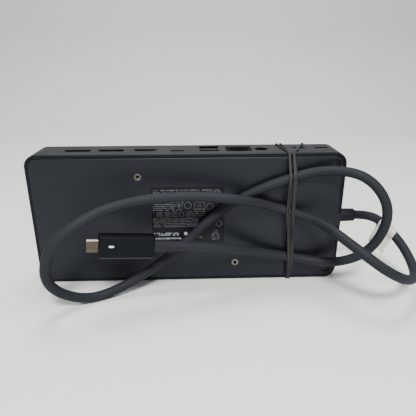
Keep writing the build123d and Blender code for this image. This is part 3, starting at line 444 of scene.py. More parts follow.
# Plain mouldings, each with its tone, roughness, sheen and depth of grain.
mouldings = {
    "label_film": ((0.0030, 0.0040, 0.0064), 0.42, 0.24, 0.000002),
    "black_moulding": ((0.0028, 0.0028, 0.0032), 0.6, 0.04, fine_grain),
    "chip_resin": ((0.016, 0.016, 0.017), 0.55, 0.35, fine_grain),
    "thermal_pad": ((0.30, 0.36, 0.42), 0.7, 0.35, fine_grain),
    "plunger_plastic": ((0.45, 0.45, 0.44), 0.5, 0.35, fine_grain),
    "gland_rubber": ((0.0105, 0.0117, 0.0142), 0.58, 0.12, 0.000008),
    "carrier_plastic": ((0.010, 0.010, 0.010), 0.5, 0.35, fine_grain),
    "socket_core": ((0.004, 0.004, 0.0045), 0.55, 0.08, fine_grain),
    "comb_plastic": ((0.012, 0.0125, 0.014), 0.6, 0.06, fine_grain),
}
finishes = {
    # The shell is painted darker where it faces -Y, as shade on its rim.
    "casing_shell": casing_texture("casing_shell", (0.0036, 0.0044, 0.0064), 0.42, 0.52,
                                   0.00001, sheen=0.26, rim=0.6),
    # The plate's edges carry a strong painted highlight on top of their wear.
    "casing_plate": casing_texture("casing_plate", (0.0034, 0.0044, 0.0070), 0.38, 0.48,
                                   0.00001, sheen=0.44, rubbed_and_highlight_share=0.9),
    "button_plastic": casing_texture("button_plastic", (0.016, 0.017, 0.019), 0.28, 0.36,
                                     fine_grain),
    "insert_metal": turned_ring(),
    "socket_steel": socket_sheet(),
    "plug_steel": plug_sheet(),
    "plug_plastic": plug_moulding(),
    "lamp_lens": lamp_lens(),
    "circuit_board": board_mask(),
    "cord_jacket": lead_jacket(),
    "tag_paper": paper_tag(),
    "band_rubber": band_rubber("band_rubber", (0.0076, 0.0083, 0.0092), (0.0152, 0.0161, 0.0168)),
}
for metal, values in metals.items():
    finishes[metal] = sheet_metal(metal, *values)
for moulding, values in mouldings.items():
    finishes[moulding] = smooth_moulding(moulding, *values)
band_pale = band_rubber("band_rubber_pale", (0.0096, 0.0102, 0.0096), (0.0200, 0.0209, 0.0184))
print_light = ink("print_light", (0.34, 0.365, 0.385))
print_dim = ink("print_dim", (0.098, 0.105, 0.114))


def finish_frame():
    """Every CAD node takes the finish of its own slot."""
    for subpart in frame["record"]["subparts"]:
        materials = nodes[subpart["node"]].data.materials
        materials.clear()
        materials.append(finishes[subpart["material_slot"]])


finish_frame()


# ---------------------------------------- viewpoint, floor and light
def set_viewpoint():
    """A camera above and in front of the underside."""
    data = bpy.data.cameras.new("viewpoint")
    data.sensor_width = 36.0
    data.lens = 36.34
    camera = link_object("viewpoint", data)
    camera.location = (0.00540, -0.27553, 0.15183)
    yaw = Matrix.Rotation(math.radians(-1.729), 3, "Z")
    tilt = Matrix.Rotation(math.radians(90 - 20.45), 3, "X")
    roll = Matrix.Rotation(math.radians(-0.198), 3, "Z")
    camera.rotation_euler = (yaw @ tilt @ roll).to_euler()
    bpy.context.scene.camera = camera


def sweep_tone():
    """A pale matt sheet, faintly uneven, painted darker as it climbs behind the object, as shade
    where less light reaches it.
    """
    finish = Finish("pale_sweep", 0.75)
    floor_tone = finish.mottle(finish.noise(2.2, detail=2),
                               (0.675, 0.67, 0.66), (0.715, 0.71, 0.705))
    # Painted shade: the backdrop darkens with height, standing in for light that falls off.
    climb = finish.ramp(finish.part(finish.place, "Z"), (0.0, 0.0), (0.22, 1.0))
    finish.colour(finish.blend(climb, floor_tone, (0.54, 0.54, 0.545)))
    return finish.material


def pale_sweep():
    """A floor that curves up into a backdrop behind the object."""
    half_width, near, bend, radius, top = 2.4, -1.6, 0.55, 0.45, 2.0
    steps = 24
    profile = [(near, 0.0), (bend, 0.0)]
    for step in range(1, steps + 1):
        angle = step / steps * math.pi / 2
        profile.append((bend + radius * math.sin(angle), radius * (1 - math.cos(angle))))
    profile.append((bend + radius, top))
    points = [(x, y, z) for y, z in profile for x in (-half_width, half_width)]
    mesh = plain_mesh("pale_sweep", points, ribbon_faces(len(profile)), sweep_tone())
    link_object("pale_sweep", mesh)


def soft_light(name, place, aim, size, power, tint=(1.0, 1.0, 1.0)):
    """A square area light that looks at a point."""
    data = bpy.data.lights.new(name, "AREA")
    data.shape = "SQUARE"
    data.size = size
    data.energy = power
    data.color = tint
    light = link_object(name, data)
    light.location = place
    light.rotation_euler = (Vector(aim) - Vector(place)).to_track_quat("-Z", "Y").to_euler()


def light_room():
    """An even pale room, a soft light high in front and a wide dim one overhead."""
    world = bpy.data.worlds.new("room")
    world.use_nodes = True
    background = world.node_tree.nodes["Background"]
    background.inputs["Color"].default_value = (0.93, 0.95, 1.0, 1)
    background.inputs["Strength"].default_value = 0.325
    bpy.context.scene.world = world
    soft_light("key", (0.05, -0.90, 1.02), (0.05, -0.02, 0.0), 0.30, 32.0, (1.0, 0.99, 0.97))
    soft_light("ceiling", (0.0, 0.27, 1.05), (0.0, 0.0, 0.0), 0.45, 11.0)


set_viewpoint()
pale_sweep()
light_room()


# ---------------------------------------- shapes that grow from a rule
class ShapeTree:
    """Geometry nodes under construction: named inputs, wired nodes and one painted mesh."""

    def __init__(self, name, *inputs):
        self.tree = bpy.data.node_groups.new(name, "GeometryNodeTree")
        for label, kind in (("Start", "Geometry"), *inputs):
            self.tree.interface.new_socket(label, in_out="INPUT", socket_type="NodeSocket" + kind)
        self.tree.interface.new_socket("Shape", in_out="OUTPUT", socket_type="NodeSocketGeometry")
        self.given = self.tree.nodes.new("NodeGroupInput").outputs

    def add(self, kind, output, inputs, **settings):
        """Adds a node, wires or sets each of its inputs, and hands back one of its outputs."""
        node = self.tree.nodes.new(kind)
        for setting, value in settings.items():
            setattr(node, setting, value)
        for socket, value in inputs.items():
            if isinstance(value, bpy.types.NodeSocket):
                self.tree.links.new(value, node.inputs[socket])
            else:
                node.inputs[socket].default_value = value
        return node.outputs[output]

    def finished(self, shape, material):
        """Ends the tree: instances become plain mesh, and the mesh takes its material."""
        plain = self.add("GeometryNodeRealizeInstances", "Geometry", {"Geometry": shape})
        painted = self.add("GeometryNodeSetMaterial", "Geometry",
                           {"Geometry": plain, "Material": material})
        result = self.tree.nodes.new("NodeGroupOutput")
        self.tree.links.new(painted, result.inputs["Shape"])
        return self.tree


def grown_mesh(name, tree, values, start=None):
    """The plain mesh a tree makes of its named inputs, and of a start object where it takes one."""
    holder = start or link_object(name, bpy.data.meshes.new(name))
    modifier = holder.modifiers.new(name, "NODES")
    modifier.node_group = tree
    for item in tree.interface.items_tree:
        if item.in_out == "INPUT" and item.name in values:
            modifier[item.identifier] = values[item.name]
    bpy.context.view_layer.update()
    evaluated = holder.evaluated_get(bpy.context.evaluated_depsgraph_get())
    mesh = bpy.data.meshes.new_from_object(evaluated)
    mesh.name = name
    bpy.data.objects.remove(holder)
    return mesh


# ---------------------------------------- the lead
# Its route, with heights over the casing's lower edge, as the CAD model has it.
lead_route = [
    (0.116, -0.004, 0.0435), (0.128, -0.004, 0.0435), (0.140, -0.006, 0.035),
    (0.151, -0.018, 0.021), (0.147, -0.044, 0.013), (0.120, -0.066, 0.028),
    (0.095, -0.051, 0.045), (0.084, -0.026, 0.049), (0.059, -0.0155, 0.054),
    (0.036, -0.029, 0.064), (0.012, -0.032, 0.068), (-0.013, -0.035, 0.069),
    (-0.038, -0.043, 0.068), (-0.059, -0.054, 0.063), (-0.079, -0.062, 0.048),
    (-0.085, -0.056, 0.020), (-0.066, -0.041, 0.001), (-0.042, -0.032, 0.006),
    (-0.021, -0.027, 0.0185), (0.000, -0.022, 0.034), (0.018, -0.018, 0.051),
    (0.040, -0.018, 0.065), (0.063, -0.018, 0.074), (0.088, -0.019, 0.081),
    (0.112, -0.031, 0.080), (0.127, -0.037, 0.058), (0.119, -0.033, 0.029),
    (0.099, -0.025, 0.016), (0.075, -0.017, 0.017), (0.051, -0.020, 0.023),
    (0.027, -0.031, 0.032), (0.005, -0.037, 0.037), (-0.009, -0.040, 0.0387),
]
lead_diameter = 0.0062
casing_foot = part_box("top_cover")[0].z


def route_curve():
    """The lead's centreline, one smooth spline through its route."""
    curve = bpy.data.curves.new("lead_route", "CURVE")
    curve.dimensions = "3D"
    curve.resolution_u = 14
    spline = curve.splines.new("NURBS")
    spline.points.add(len(lead_route) - 1)
    for point, (x, y, z) in zip(spline.points, lead_route):
        point.co = (x, y, z + casing_foot, 1)
    spline.order_u = 3
    spline.use_endpoint_u = True
    return link_object("lead_route", curve)


def jacket_tree():
    """A round jacket swept along a curve, with its length and its turn marked on its points."""
    tree = ShapeTree("lead_jacket_tube", ("Radius", "Float"), ("Sides", "Int"),
                     ("Finish", "Material"))
    given = tree.given
    ring = tree.add("GeometryNodeCurvePrimitiveCircle", "Curve",
                    {"Radius": given["Radius"], "Resolution": given["Sides"]})
    marked = []
    for curve, name, measure in ((given["Start"], "along", "Length"), (ring, "around", "Factor")):
        value = tree.add("GeometryNodeSplineParameter", measure, {})
        marked.append(tree.add("GeometryNodeStoreNamedAttribute", "Geometry",
                               {"Geometry": curve, "Name": name, "Value": value},
                               data_type="FLOAT"))
    tube = tree.add("GeometryNodeCurveToMesh", "Mesh",
                    {"Curve": marked[0], "Profile Curve": marked[1], "Fill Caps": True})
    smooth = tree.add("GeometryNodeSetShadeSmooth", "Geometry", {"Geometry": tube})
    return tree.finished(smooth, given["Finish"])


def curve_points(holder):
    """Points along a curve that has no thickness yet, in order."""
    bpy.context.view_layer.update()
    mesh = bpy.data.meshes.new_from_object(holder)
    points = [vertex.co.copy() for vertex in mesh.vertices]
    bpy.data.meshes.remove(mesh)
    return points


def make_lead():
    """The lead in place of its CAD tube, and the points of its centreline."""
    holder = route_curve()
    path = curve_points(holder)
    mesh = grown_mesh("lead", jacket_tree(), {
        "Radius": lead_diameter / 2, "Sides": 28, "Finish": finishes["cord_jacket"]}, holder)
    lead = place_piece("lead", mesh)
    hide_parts("cord")
    return lead, path


lead, lead_path = make_lead()


# ---------------------------------------- rubber bands
band_thickness = 0.80 * MM
foot_thickness = 0.50 * MM
band_gap = 0.10 * MM
foot_gap = 0.03 * MM
underside_corner = 0.6 * MM
cover_corner = 2.0 * MM


def ring_points(middle, radius):
    """Points round a circle in a plane."""
    count = 40
    turns = [2 * math.pi * step / count for step in range(count)]
    return [(middle[0] + radius * math.cos(turn), middle[1] + radius * math.sin(turn))
            for turn in turns]


def hull(spots):
    """The convex outline round points in a plane, in order."""
    spots = sorted(set(spots))

    def half(run):
        """One side of the outline, over points in order."""
        chain = []
        for spot in run:
            while len(chain) > 1 and (
                    (chain[-1][0] - chain[-2][0]) * (spot[1] - chain[-2][1])
                    <= (chain[-1][1] - chain[-2][1]) * (spot[0] - chain[-2][0])):
                chain.pop()
            chain.append(spot)
        return chain[:-1]

    return half(spots) + half(reversed(spots))


def stretched_outline(crossings):
    """The line a stretched strand takes across the casing and the lead, as (y, z).

    It is the tight outline round the casing's four corners and the places where it crosses the
    lead, each as large as itself and half the strand, with its long runs divided.
    """
    longest_run = 1.2 * MM
    cover = band_thickness / 2 + band_gap
    foot_cover = foot_thickness / 2 + foot_gap
    low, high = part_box("top_cover")
    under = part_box("base_cover")[0].y
    spots = []
    for y, z, side, rise, radius, reach in (
            (under, high.z, 1, -1, underside_corner, cover),
            (under, low.z, 1, 1, underside_corner, foot_cover),
            (high.y, high.z, -1, -1, cover_corner, cover),
            (high.y, low.z, -1, 1, cover_corner, foot_cover)):
        spots += ring_points((y + side * radius, z + rise * radius), radius + reach)
    for y, z in crossings:
        spots += ring_points((y, z), lead_diameter / 2 + cover)
    corners = [Vector(spot) for spot in hull(spots)]
    line = []
    for corner, following in zip(corners, corners[1:] + corners[:1]):
        steps = max(1, math.ceil((following - corner).length / longest_run))
        line += [corner.lerp(following, step / steps) for step in range(steps)]
    return line


def around_loop(line, stations):
    """For each point of a closed line, its distance along and its blend of the stations."""
    reach = [0.0]
    for before, after in zip(line, line[1:] + line[:1]):
        reach.append(reach[-1] + (after - before).length)
    total = reach.pop()
    keyed = []
    for y, z, *values in stations:
        spot = Vector((y, z)) * MM
        nearest = min(range(len(line)), key=lambda i: (line[i] - spot).length)
        keyed.append((reach[nearest], values))
    keyed.sort()
    keyed = [(keyed[-1][0] - total, keyed[-1][1])] + keyed + [(keyed[0][0] + total, keyed[0][1])]
    blended = []
    for distance in reach:
        for (start, first), (end, last) in zip(keyed, keyed[1:]):
            if start <= distance <= end and end > start:
                share = (distance - start) / (end - start)
                eased = share * share * (3 - 2 * share) * 0.5 + share * 0.5
                blended.append([a + (b - a) * eased for a, b in zip(first, last)])
                break
    return reach, blended


def lead_crossings(stations):
    """Where a strand crosses the lead in front of the underside, as (y, z)."""
    front_of, margin = -14, 0.9 * MM
    front = sorted((z * MM, x * MM, width * MM) for y, z, x, width, *_ in stations if y < front_of)

    def place_at(height):
        """Where the strand is along X at a height, and how wide."""
        for (low, x_low, width), (high, x_high, _) in zip(front, front[1:]):
            if low <= height <= high:
                return x_low + (x_high - x_low) * (height - low) / (high - low), width
        return front[-1][1:]

    crossings = []
    for point in lead_path:
        x, width = place_at(point.z)
        if abs(point.x - x) < width / 2 + margin:
            crossings.append((point.y, point.z))
    return crossings


def squared(share, power):
    """A sine or cosine pushed out towards its ends, which squares off a round section."""
    return math.copysign(abs(share) ** power, share)


def strand(stations):
    """Points, faces and marks of one strand: a flat section swept round a closed line.

    A station is (y, z, x, width, twist in degrees, how far it stands off), in millimetres.
    """
    sides = 12
    along_casing = Vector((1, 0, 0))
    line = stretched_outline(lead_crossings(stations))
    reach, blended = around_loop(line, stations)
    points, marks = [], []
    # The width wavers along the strand by two small waves, so that no stretch is quite even.
    for i, (spot, values) in enumerate(zip(line, blended)):
        run = line[(i + 1) % len(line)] - line[i - 1]
        outward = Vector((0, run.y, -run.x)).normalized()
        x, width, twist, off = values[0] * MM, values[1] * MM, math.radians(values[2]), values[3]
        thickness = foot_thickness if spot.y < casing_foot else band_thickness
        across = along_casing * math.cos(twist) + outward * math.sin(twist)
        through = outward * math.cos(twist) - along_casing * math.sin(twist)
        uneven = 1 + 0.05 * math.sin(reach[i] * 210) + 0.03 * math.sin(reach[i] * 570)
        middle = Vector((x, spot.x, spot.y)) + outward * off * MM
        for side in range(sides):
            turn = 2 * math.pi * side / sides
            flat = squared(math.cos(turn), 0.45) * width / 2 * uneven
            deep = squared(math.sin(turn), 0.6) * thickness / 2
            points.append(middle + across * flat + through * deep)
            marks.append(reach[i])
    return points, sleeve_faces(len(line), sides, closed=True), marks


def make_band(name, node, strands, finish):
    """One rubber band of one or more strands in place of a CAD node."""
    points, faces, marks = [], [], []
    for stations in strands:
        more_points, more_faces, more_marks = strand(stations)
        faces += shifted(more_faces, len(points))
        points += more_points
        marks += more_marks
    band = mesh_piece(name, points, faces, finish)
    along = band.data.attributes.new("along", "FLOAT", "POINT")
    along.data.foreach_set("value", marks)
    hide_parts(node)
    return band


left_outer = [
    (-15, 91, 65.1, 1.2, 0, 0), (-15, 86, 65.1, 1.2, 0, 0), (-17, 80, 65.3, 1.1, 0, 0),
    (-22, 65, 64.9, 1.0, 12, 0), (-24, 54, 64.6, 1.4, 0, 0), (-23, 40, 66.0, 1.1, 0, 0),
    (-21.5, 25, 67.0, 1.2, 0, 0), (-19.5, 12, 68.1, 1.1, 0, 0), (-16.5, 6, 68.9, 1.1, 0, 0),
    (-15.6, 3, 68.7, 1.1, 0, 0), (0, 0, 68.3, 1.2, 0, 0), (15, 3, 67.7, 1.3, 0, 0),
    (15, 88, 62.0, 1.3, 0, 0), (12, 91.5, 61.8, 1.0, 4, 0), (-4, 91.5, 63.4, 0.9, 5, 0),
    (-13, 91.5, 64.5, 1.1, 3, 0),
]
left_inner = [
    (-15, 91, 65.8, 1.0, 0, 0), (-15, 86, 65.8, 1.0, 0, 0.1), (-17, 80, 66.0, 1.0, 0, 0),
    (-22, 65, 66.1, 0.9, -10, 0), (-24, 54, 65.9, 1.3, 0, 0), (-23, 40, 66.7, 0.9, -25, -0.1),
    (-21.5, 25, 67.9, 1.1, 0, 0), (-19.5, 12, 69.0, 1.1, 0, 0), (-16.5, 6, 69.5, 1.1, 0, 0.1),
    (-15.6, 3, 69.6, 1.1, 0, 0), (0, 0, 69.5, 1.1, 0, 0), (15, 3, 68.9, 1.3, 0, 0),
    (15, 88, 64.8, 1.3, 0, 0), (12, 91.5, 64.6, 1.2, 4, 0), (-4, 91.5, 65.7, 1.3, 5, 0),
    (-13, 91.5, 65.6, 1.2, 3, 0),
]
right_strand = [
    (-15, 91, 68.2, 2.0, 0, 0), (-15, 86, 68.3, 2.2, 0, 0), (-17, 80, 68.6, 2.3, 0, 0),
    (-20, 73, 68.6, 2.4, 0, 0), (-22, 65, 68.4, 2.3, 0, 0), (-24, 54, 68.2, 2.5, 0, 0.1),
    (-23, 46, 68.5, 1.9, 35, 0), (-22.7, 39.5, 68.7, 2.0, 58, 0),
    (-22, 32, 69.1, 2.1, 35, 0), (-21.5, 25, 69.7, 2.3, 0, 0.2), (-19.5, 13, 70.1, 1.9, 10, 0.4),
    (-16.5, 6, 69.9, 1.6, 15, 0.8), (-15.6, 2, 70.7, 1.4, 0, 0), (0, 0, 70.9, 1.6, 0, 0),
    (15, 3, 71.0, 2.0, 0, 0), (15, 88, 80.2, 2.3, 0, 0), (12, 91.5, 79.9, 1.9, -3, 0),
    (-4, 91.5, 72.9, 1.8, -4, 0), (-13, 91.5, 69.1, 2.0, -2, 0),
]
replaced = {
    "rubber_band_left": make_band("band_left", "rubber_band_left", [left_outer, left_inner],
                                  band_pale),
    "rubber_band_right": make_band("band_right", "rubber_band_right", [right_strand],
                                   finishes["band_rubber"]),
}


# ---------------------------------------- the slip round the lead
def lead_at(start, axis, reach):
    """The point of the lead's centreline that lies a given way along an axis from a start."""
    nearby = 30 * MM
    for before, after in zip(lead_path, lead_path[1:]):
        low, high = (before - start).dot(axis), (after - start).dot(axis)
        if low <= reach < high and (before - start).length < nearby:
            return before.lerp(after, (reach - low) / (high - low))
    return start + axis * reach


def slip_section(wrap, meet, drop, half_gap, sheet):
    """The slip cut across the lead, as (down, out): up one half, round the lead, down the other.

    The halves part at a distance below the centreline, and the sheet has its thickness inwards.
    """
    half_steps, wrap_steps = 12, 20
    mouth, around = 28, 304  # degrees
    shares = [step / half_steps for step in range(half_steps + 1)]
    path = [(drop - (drop - meet) * share, -half_gap) for share in shares]
    for step in range(wrap_steps + 1):
        turn = -math.radians(mouth + around * step / wrap_steps)
        path.append((wrap * math.cos(turn), wrap * math.sin(turn)))
    path += [(meet + (drop - meet) * share, half_gap) for share in shares]
    inside = []
    for i, spot in enumerate(path):
        before, after = path[max(i - 1, 0)], path[min(i + 1, len(path) - 1)]
        run = Vector((after[0] - before[0], after[1] - before[1])).normalized()
        inside.append(Vector(spot) - Vector((run.y, -run.x)) * sheet)
    return [Vector(spot) for spot in path] + inside[::-1]


def make_tag():
    """A blank folded slip: it wraps the lead, its two halves meet and hang with a slight curl."""
    near = Vector((0.1340, -0.0050, 0.0398))
    far = Vector((0.1434, -0.0098, 0.0312))
    axis = (far - near).normalized()
    hang = Vector((-0.50, -0.06, -0.86))
    hang = (hang - axis * hang.dot(axis)).normalized()
    side = axis.cross(hang)
    drop, slant, curl_out, curl_back = 15.0 * MM, 5.4 * MM, 1.0 * MM, 0.8 * MM
    section = slip_section(wrap=3.45 * MM, meet=5.6 * MM, drop=drop, half_gap=0.10 * MM,
                           sheet=0.16 * MM)
    rows = 14
    points = []
    for row in range(rows + 1):
        share = row / rows
        place = lead_at(near, axis, (far - near).length * share)
        for down, out in section:
            reach = max(0.0, down / drop)
            curl = curl_out * reach ** 2 * (0.4 + share) - curl_back * reach * math.sin(share * 3.0)
            points.append(place + hang * down + side * (out + curl) + axis * (slant * reach))
    count = len(section)
    faces = sleeve_faces(rows + 1, count)
    faces += [tuple(range(count - 1, -1, -1)), tuple(rows * count + k for k in range(count))]
    tag = mesh_piece("slip_on_lead", points, faces, finishes["tag_paper"])
    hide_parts("cord_tag")
    return tag


replaced["cord_tag"] = make_tag()


# ---------------------------------------- printing on the label
def dash_rows_tree():
    """Rows of short dashes in place of lettering, with gaps between words."""
    tree = ShapeTree("dash_rows", ("Row Length", "Float"), ("Block Height", "Float"),
                     ("Columns", "Int"), ("Rows", "Int"), ("Dash Width", "Float"),
                     ("Dash Height", "Float"), ("Cover", "Float"), ("Seed", "Int"),
                     ("Ink", "Material"))
    given = tree.given
    places = tree.add("GeometryNodeMeshGrid", "Mesh",
                      {"Size X": given["Row Length"], "Size Y": given["Block Height"],
                       "Vertices X": given["Columns"], "Vertices Y": given["Rows"]})
    dash = tree.add("GeometryNodeMeshGrid", "Mesh",
                    {"Size X": given["Dash Width"], "Size Y": given["Dash Height"],
                     "Vertices X": 2, "Vertices Y": 2})
    yes_or_no = 3
    keep = tree.add("FunctionNodeRandomValue", yes_or_no,
                    {"Probability": given["Cover"], "Seed": given["Seed"]}, data_type="BOOLEAN")
    stretch = tree.add("FunctionNodeRandomValue", "Value",
                       {"Min": (0.45, 0.75, 1.0), "Max": (1.20, 1.0, 1.0), "Seed": given["Seed"]},
                       data_type="FLOAT_VECTOR")
    spread = tree.add("GeometryNodeInstanceOnPoints", "Instances",
                      {"Points": places, "Instance": dash, "Selection": keep, "Scale": stretch})
    return tree.finished(spread, given["Ink"])


ink_gap = 0.015 * MM
label_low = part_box("label")[0]
print_face = label_low.y - ink_gap
dash_rows = dash_rows_tree()
flat_to_upright = Matrix.Rotation(math.radians(90), 4, "X")


def on_label(x, z):
    """A place on the label's face, in millimetres from its lower left corner."""
    return Vector((label_low.x + x * MM, print_face, label_low.z + z * MM))


def print_block(name, left, right, low, high, rows, size, ink_finish, cover, seed):
    """A block of dash rows on the label, between its left and right and its low and high."""
    dash_share, pitch_share = 0.62, 0.85
    mesh = grown_mesh(name, dash_rows, {
        "Row Length": (right - left) * MM, "Block Height": (high - low) * MM,
        "Columns": max(2, round((right - left) / (size * pitch_share))), "Rows": rows,
        "Dash Width": size * dash_share * MM, "Dash Height": size * MM, "Cover": cover,
        "Seed": seed, "Ink": ink_finish})
    middle = on_label((left + right) / 2, (low + high) / 2)
    mesh.transform(Matrix.Translation(middle) @ flat_to_upright)
    place_piece(name, mesh)


def outline_marks(name, marks, ink_finish):
    """Plain outline shapes on the label, each (x, z, reach, corners, width of its line)."""
    points, faces = [], []
    for x, z, reach, corners, line in marks:
        start = len(points)
        for radius in (reach, reach - line):
            for corner in range(corners):
                turn = 2 * math.pi * (corner + 0.5) / corners - math.pi / 2
                points.append(on_label(x + radius * math.cos(turn), z + radius * math.sin(turn)))
        for corner in range(corners):
            following = (corner + 1) % corners
            faces.append((start + corner, start + following, start + corners + following,
                          start + corners + corner))
    mesh_piece(name, points, faces, ink_finish, smooth=False)


# Name, left, right, low, high, rows, height of a dash, ink, cover and seed.
for block in (
        ("label_heading", 1.5, 40, 36.6, 38.2, 2, 0.9, print_dim, 0.8, 3),
        ("label_rows_upper", 1.5, 21, 24.5, 30.0, 5, 0.8, print_dim, 0.8, 4),
        ("label_rows_middle", 1.5, 31, 12.6, 18.4, 6, 0.75, print_dim, 0.85, 5),
        ("label_rows_right", 28.8, 35.6, 20.2, 25.0, 4, 0.7, print_dim, 0.8, 6),
        ("label_pattern", 40.6, 45.4, 2.6, 7.2, 8, 0.55, print_dim, 0.55, 7),
        ("label_bold_rows", 1.6, 17.6, 6.5, 7.7, 2, 0.95, print_light, 0.78, 8),
        ("label_bold_row_low", 1.6, 19.4, 3.6, 4.2, 2, 0.62, print_light, 0.75, 9),
        ("label_small_row", 27.0, 33.6, 4.2, 4.8, 2, 0.7, print_dim, 0.9, 10)):
    print_block(*block)

outline_marks("label_outlines", [
    (43.6, 36.0, 2.6, 24, 0.32), (43.6, 36.0, 1.5, 24, 0.25), (24.4, 27.6, 2.4, 24, 0.25),
    (32.2, 26.6, 4.6, 4, 0.25), (32.2, 27.4, 1.7, 3, 0.28), (39.0, 26.8, 2.5, 6, 0.22),
    (5.6, 21.4, 2.4, 4, 0.28), (5.6, 21.4, 1.2, 4, 0.3), (10.8, 21.4, 2.4, 4, 0.32),
    (10.8, 21.4, 0.9, 24, 0.3), (15.6, 21.4, 2.4, 4, 0.28), (15.6, 21.6, 1.1, 3, 0.3),
    (20.2, 21.4, 2.0, 4, 0.26), (25.6, 21.0, 2.4, 24, 0.3), (25.6, 21.0, 1.2, 6, 0.3),
    (40.6, 14.4, 2.0, 4, 0.25), (45.2, 14.4, 2.0, 24, 0.25), (43.0, 8.4, 1.4, 4, 0.25)], print_dim)
outline_marks("label_blocks", [(22.6, 7.4, 1.5, 4, 1.2), (32.6, 7.4, 1.0, 4, 0.9)], print_light)


# ---------------------------------------- contacts in the sockets
def contact_tree():
    """A straight row of equal blocks, centred on the origin along X."""
    tree = ShapeTree("contact_row", ("Count", "Int"), ("Pitch", "Float"), ("Block", "Vector"),
                     ("Metal", "Material"))
    given = tree.given
    gaps = tree.add("ShaderNodeMath", 0, {0: given["Count"], 1: 1}, operation="SUBTRACT")
    span = tree.add("ShaderNodeMath", 0, {0: gaps, 1: given["Pitch"]}, operation="MULTIPLY")
    back = tree.add("ShaderNodeMath", 0, {0: span, 1: -0.5}, operation="MULTIPLY")
    step = tree.add("ShaderNodeCombineXYZ", "Vector", {"X": given["Pitch"]})
    start = tree.add("ShaderNodeCombineXYZ", "Vector", {"X": back})
    line = tree.add("GeometryNodeMeshLine", "Mesh",
                    {"Count": given["Count"], "Offset": step, "Start Location": start})
    block = tree.add("GeometryNodeMeshCube", "Mesh", {"Size": given["Block"]})
    spread = tree.add("GeometryNodeInstanceOnPoints", "Instances",
                      {"Points": line, "Instance": block})
    return tree.finished(spread, given["Metal"])


contact_row = contact_tree()


def contacts(name, place, count, pitch, block, metal):
    """A row of contacts along X about a place, its pitch and blocks given in millimetres."""
    mesh = grown_mesh(name, contact_row, {
        "Count": count, "Pitch": pitch * MM, "Block": tuple(size * MM for size in block),
        "Metal": metal})
    mesh.transform(Matrix.Translation(place))
    place_piece(name, mesh)


def in_mouth(socket, rise, setback):
    """A place over a socket's middle and back from its mouth, both given in millimetres."""
    low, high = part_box(socket)
    middle = (low + high) / 2
    return Vector((middle.x, middle.y + rise * MM, high.z - setback * MM))


def tongue_contacts():
    """Contact pads on both faces of each socket's tongue."""
    # A tongue's rise over its shell's middle, its setback and thickness, its pads, their pitch
    # and their width.
    displayport = (0.0, 3.5, 1.3, 10, 1.1, 0.45)
    hdmi = (0.4, 2.5, 1.1, 10, 1.0, 0.45)
    usb_c = (0.0, 1.0, 0.7, 12, 0.5, 0.28)
    pad_thickness, pad_length, pad_middle = 0.06, 3.2, 2.2
    for name, kind in (("displayport_1", displayport), ("displayport_2", displayport),
                       ("hdmi", hdmi), ("usb_c", usb_c), ("module_usb_c_1", usb_c),
                       ("module_usb_c_2", usb_c)):
        rise, setback, thickness, count, pitch, width = kind
        for side, label in ((-1, "under"), (1, "over")):
            place = in_mouth(name + "_shell", rise + side * thickness / 2, setback + pad_middle)
            contacts(f"{name}_contacts_{label}", place, count, pitch,
                     (width, pad_thickness, pad_length), finishes["contact_metal"])


def stacked_contacts():
    """Four springs under the tongue of each level of the stacked socket."""
    level_pitch, tongue_rise, tongue_thickness, setback = 8.6, 0.9, 1.9, 6.0
    count, pitch, spring = 4, 2.3, (1.0, 0.08, 5.0)
    for side, label in ((-1, "lower"), (1, "upper")):
        rise = side * level_pitch / 2 + tongue_rise - tongue_thickness / 2
        place = in_mouth("usb_a_stack_shell", rise, setback)
        contacts(f"usb_a_contacts_{label}", place, count, pitch, spring,
                 finishes["contact_metal"])


def network_comb():
    """The two combs beside the spring contacts, seen just inside the network socket's mouth."""
    teeth, pitch, tooth_width, tooth_depth, setback = 9, 1.27, 0.42, 0.5, 0.35
    for label, rise, height in (("back", 4.0, 1.3), ("front", 0.2, 1.1)):
        place = in_mouth("network_socket", rise, setback)
        contacts(f"network_comb_{label}", place, teeth, pitch, (tooth_width, height, tooth_depth),
                 finishes["comb_plastic"])


tongue_contacts()
stacked_contacts()
network_comb()


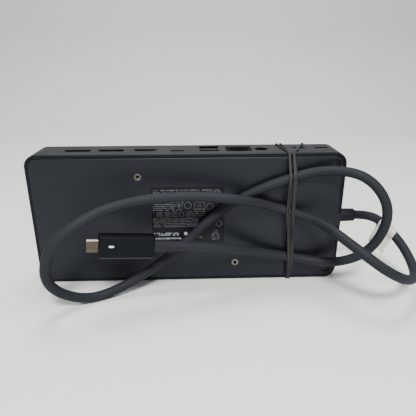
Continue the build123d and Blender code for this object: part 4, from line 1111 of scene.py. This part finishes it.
# ---------------------------------------- threads in the inserts
def thread_tree():
    """An inner thread: a thin ridge wound round the Z axis."""
    tree = ShapeTree("insert_thread", ("Radius", "Float"), ("Turns", "Float"),
                     ("Length", "Float"), ("Ridge", "Float"), ("Metal", "Material"))
    given = tree.given
    winding = tree.add("GeometryNodeCurveSpiral", "Curve",
                       {"Resolution": 28, "Rotations": given["Turns"],
                        "Start Radius": given["Radius"], "End Radius": given["Radius"],
                        "Height": given["Length"]})
    ridge = tree.add("GeometryNodeCurvePrimitiveCircle", "Curve",
                     {"Resolution": 4, "Radius": given["Ridge"]})
    thread = tree.add("GeometryNodeCurveToMesh", "Mesh",
                      {"Curve": winding, "Profile Curve": ridge, "Fill Caps": True})
    return tree.finished(thread, given["Metal"])


def insert_threads():
    """A thread in the bore of each insert, a little short of both its ends."""
    pitch, ridge, lead_in, run_out = 0.5, 0.16, 0.3, 0.2
    tree = thread_tree()
    for mount in frame["record"]["mounts"]:
        if mount["kind"] != "threaded_hole":
            continue
        name = mount["name"] + "_thread"
        length = mount["dims"]["length_mm"] - lead_in - run_out
        mesh = grown_mesh(name, tree, {
            "Radius": mount["dims"]["r_mm"] * MM, "Turns": length / pitch, "Length": length * MM,
            "Ridge": ridge * MM, "Metal": finishes["insert_metal"]})
        place = Vector(mount["pos_m"]) + Vector((0, lead_in * MM, 0))
        mesh.transform(Matrix.Translation(place) @ Matrix.Rotation(math.radians(-90), 4, "X"))
        place_piece(name, mesh)


insert_threads()


# ---------------------------------------- the button's mark
def flat_stroke(spots, width, face):
    """A flat ribbon along (x, z) spots, in millimetres, facing +Y at a given height."""
    points = []
    for i, spot in enumerate(spots):
        run = Vector(spots[min(i + 1, len(spots) - 1)]) - Vector(spots[max(i - 1, 0)])
        side = Vector((run.y, -run.x)).normalized() * width / 2
        for place in (Vector(spot) - side, Vector(spot) + side):
            points.append((place.x * MM, face, place.y * MM))
    return points, ribbon_faces(len(spots))


def power_mark():
    """The usual broken ring and bar on the button."""
    line, radius, gap, steps = 0.42, 2.0, 76, 28
    bar_top, bar_foot, ink_stand = 2.5, 0.3, 0.01
    low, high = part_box("power_button")
    x, z = (low.x + high.x) / 2 / MM, (low.z + high.z) / 2 / MM
    face = high.y + ink_stand * MM
    turns = [math.radians(90 + gap / 2 + (360 - gap) * step / steps) for step in range(steps + 1)]
    arc = [(x + radius * math.cos(turn), z + radius * math.sin(turn)) for turn in turns]
    ring, ring_faces = flat_stroke(arc, line, face)
    bar, bar_faces = flat_stroke([(x, z + bar_top), (x, z + bar_foot)], line, face)
    mesh_piece("power_mark", ring + bar, ring_faces + shifted(bar_faces, len(ring)), print_light,
               body="power_button", smooth=False)


power_mark()
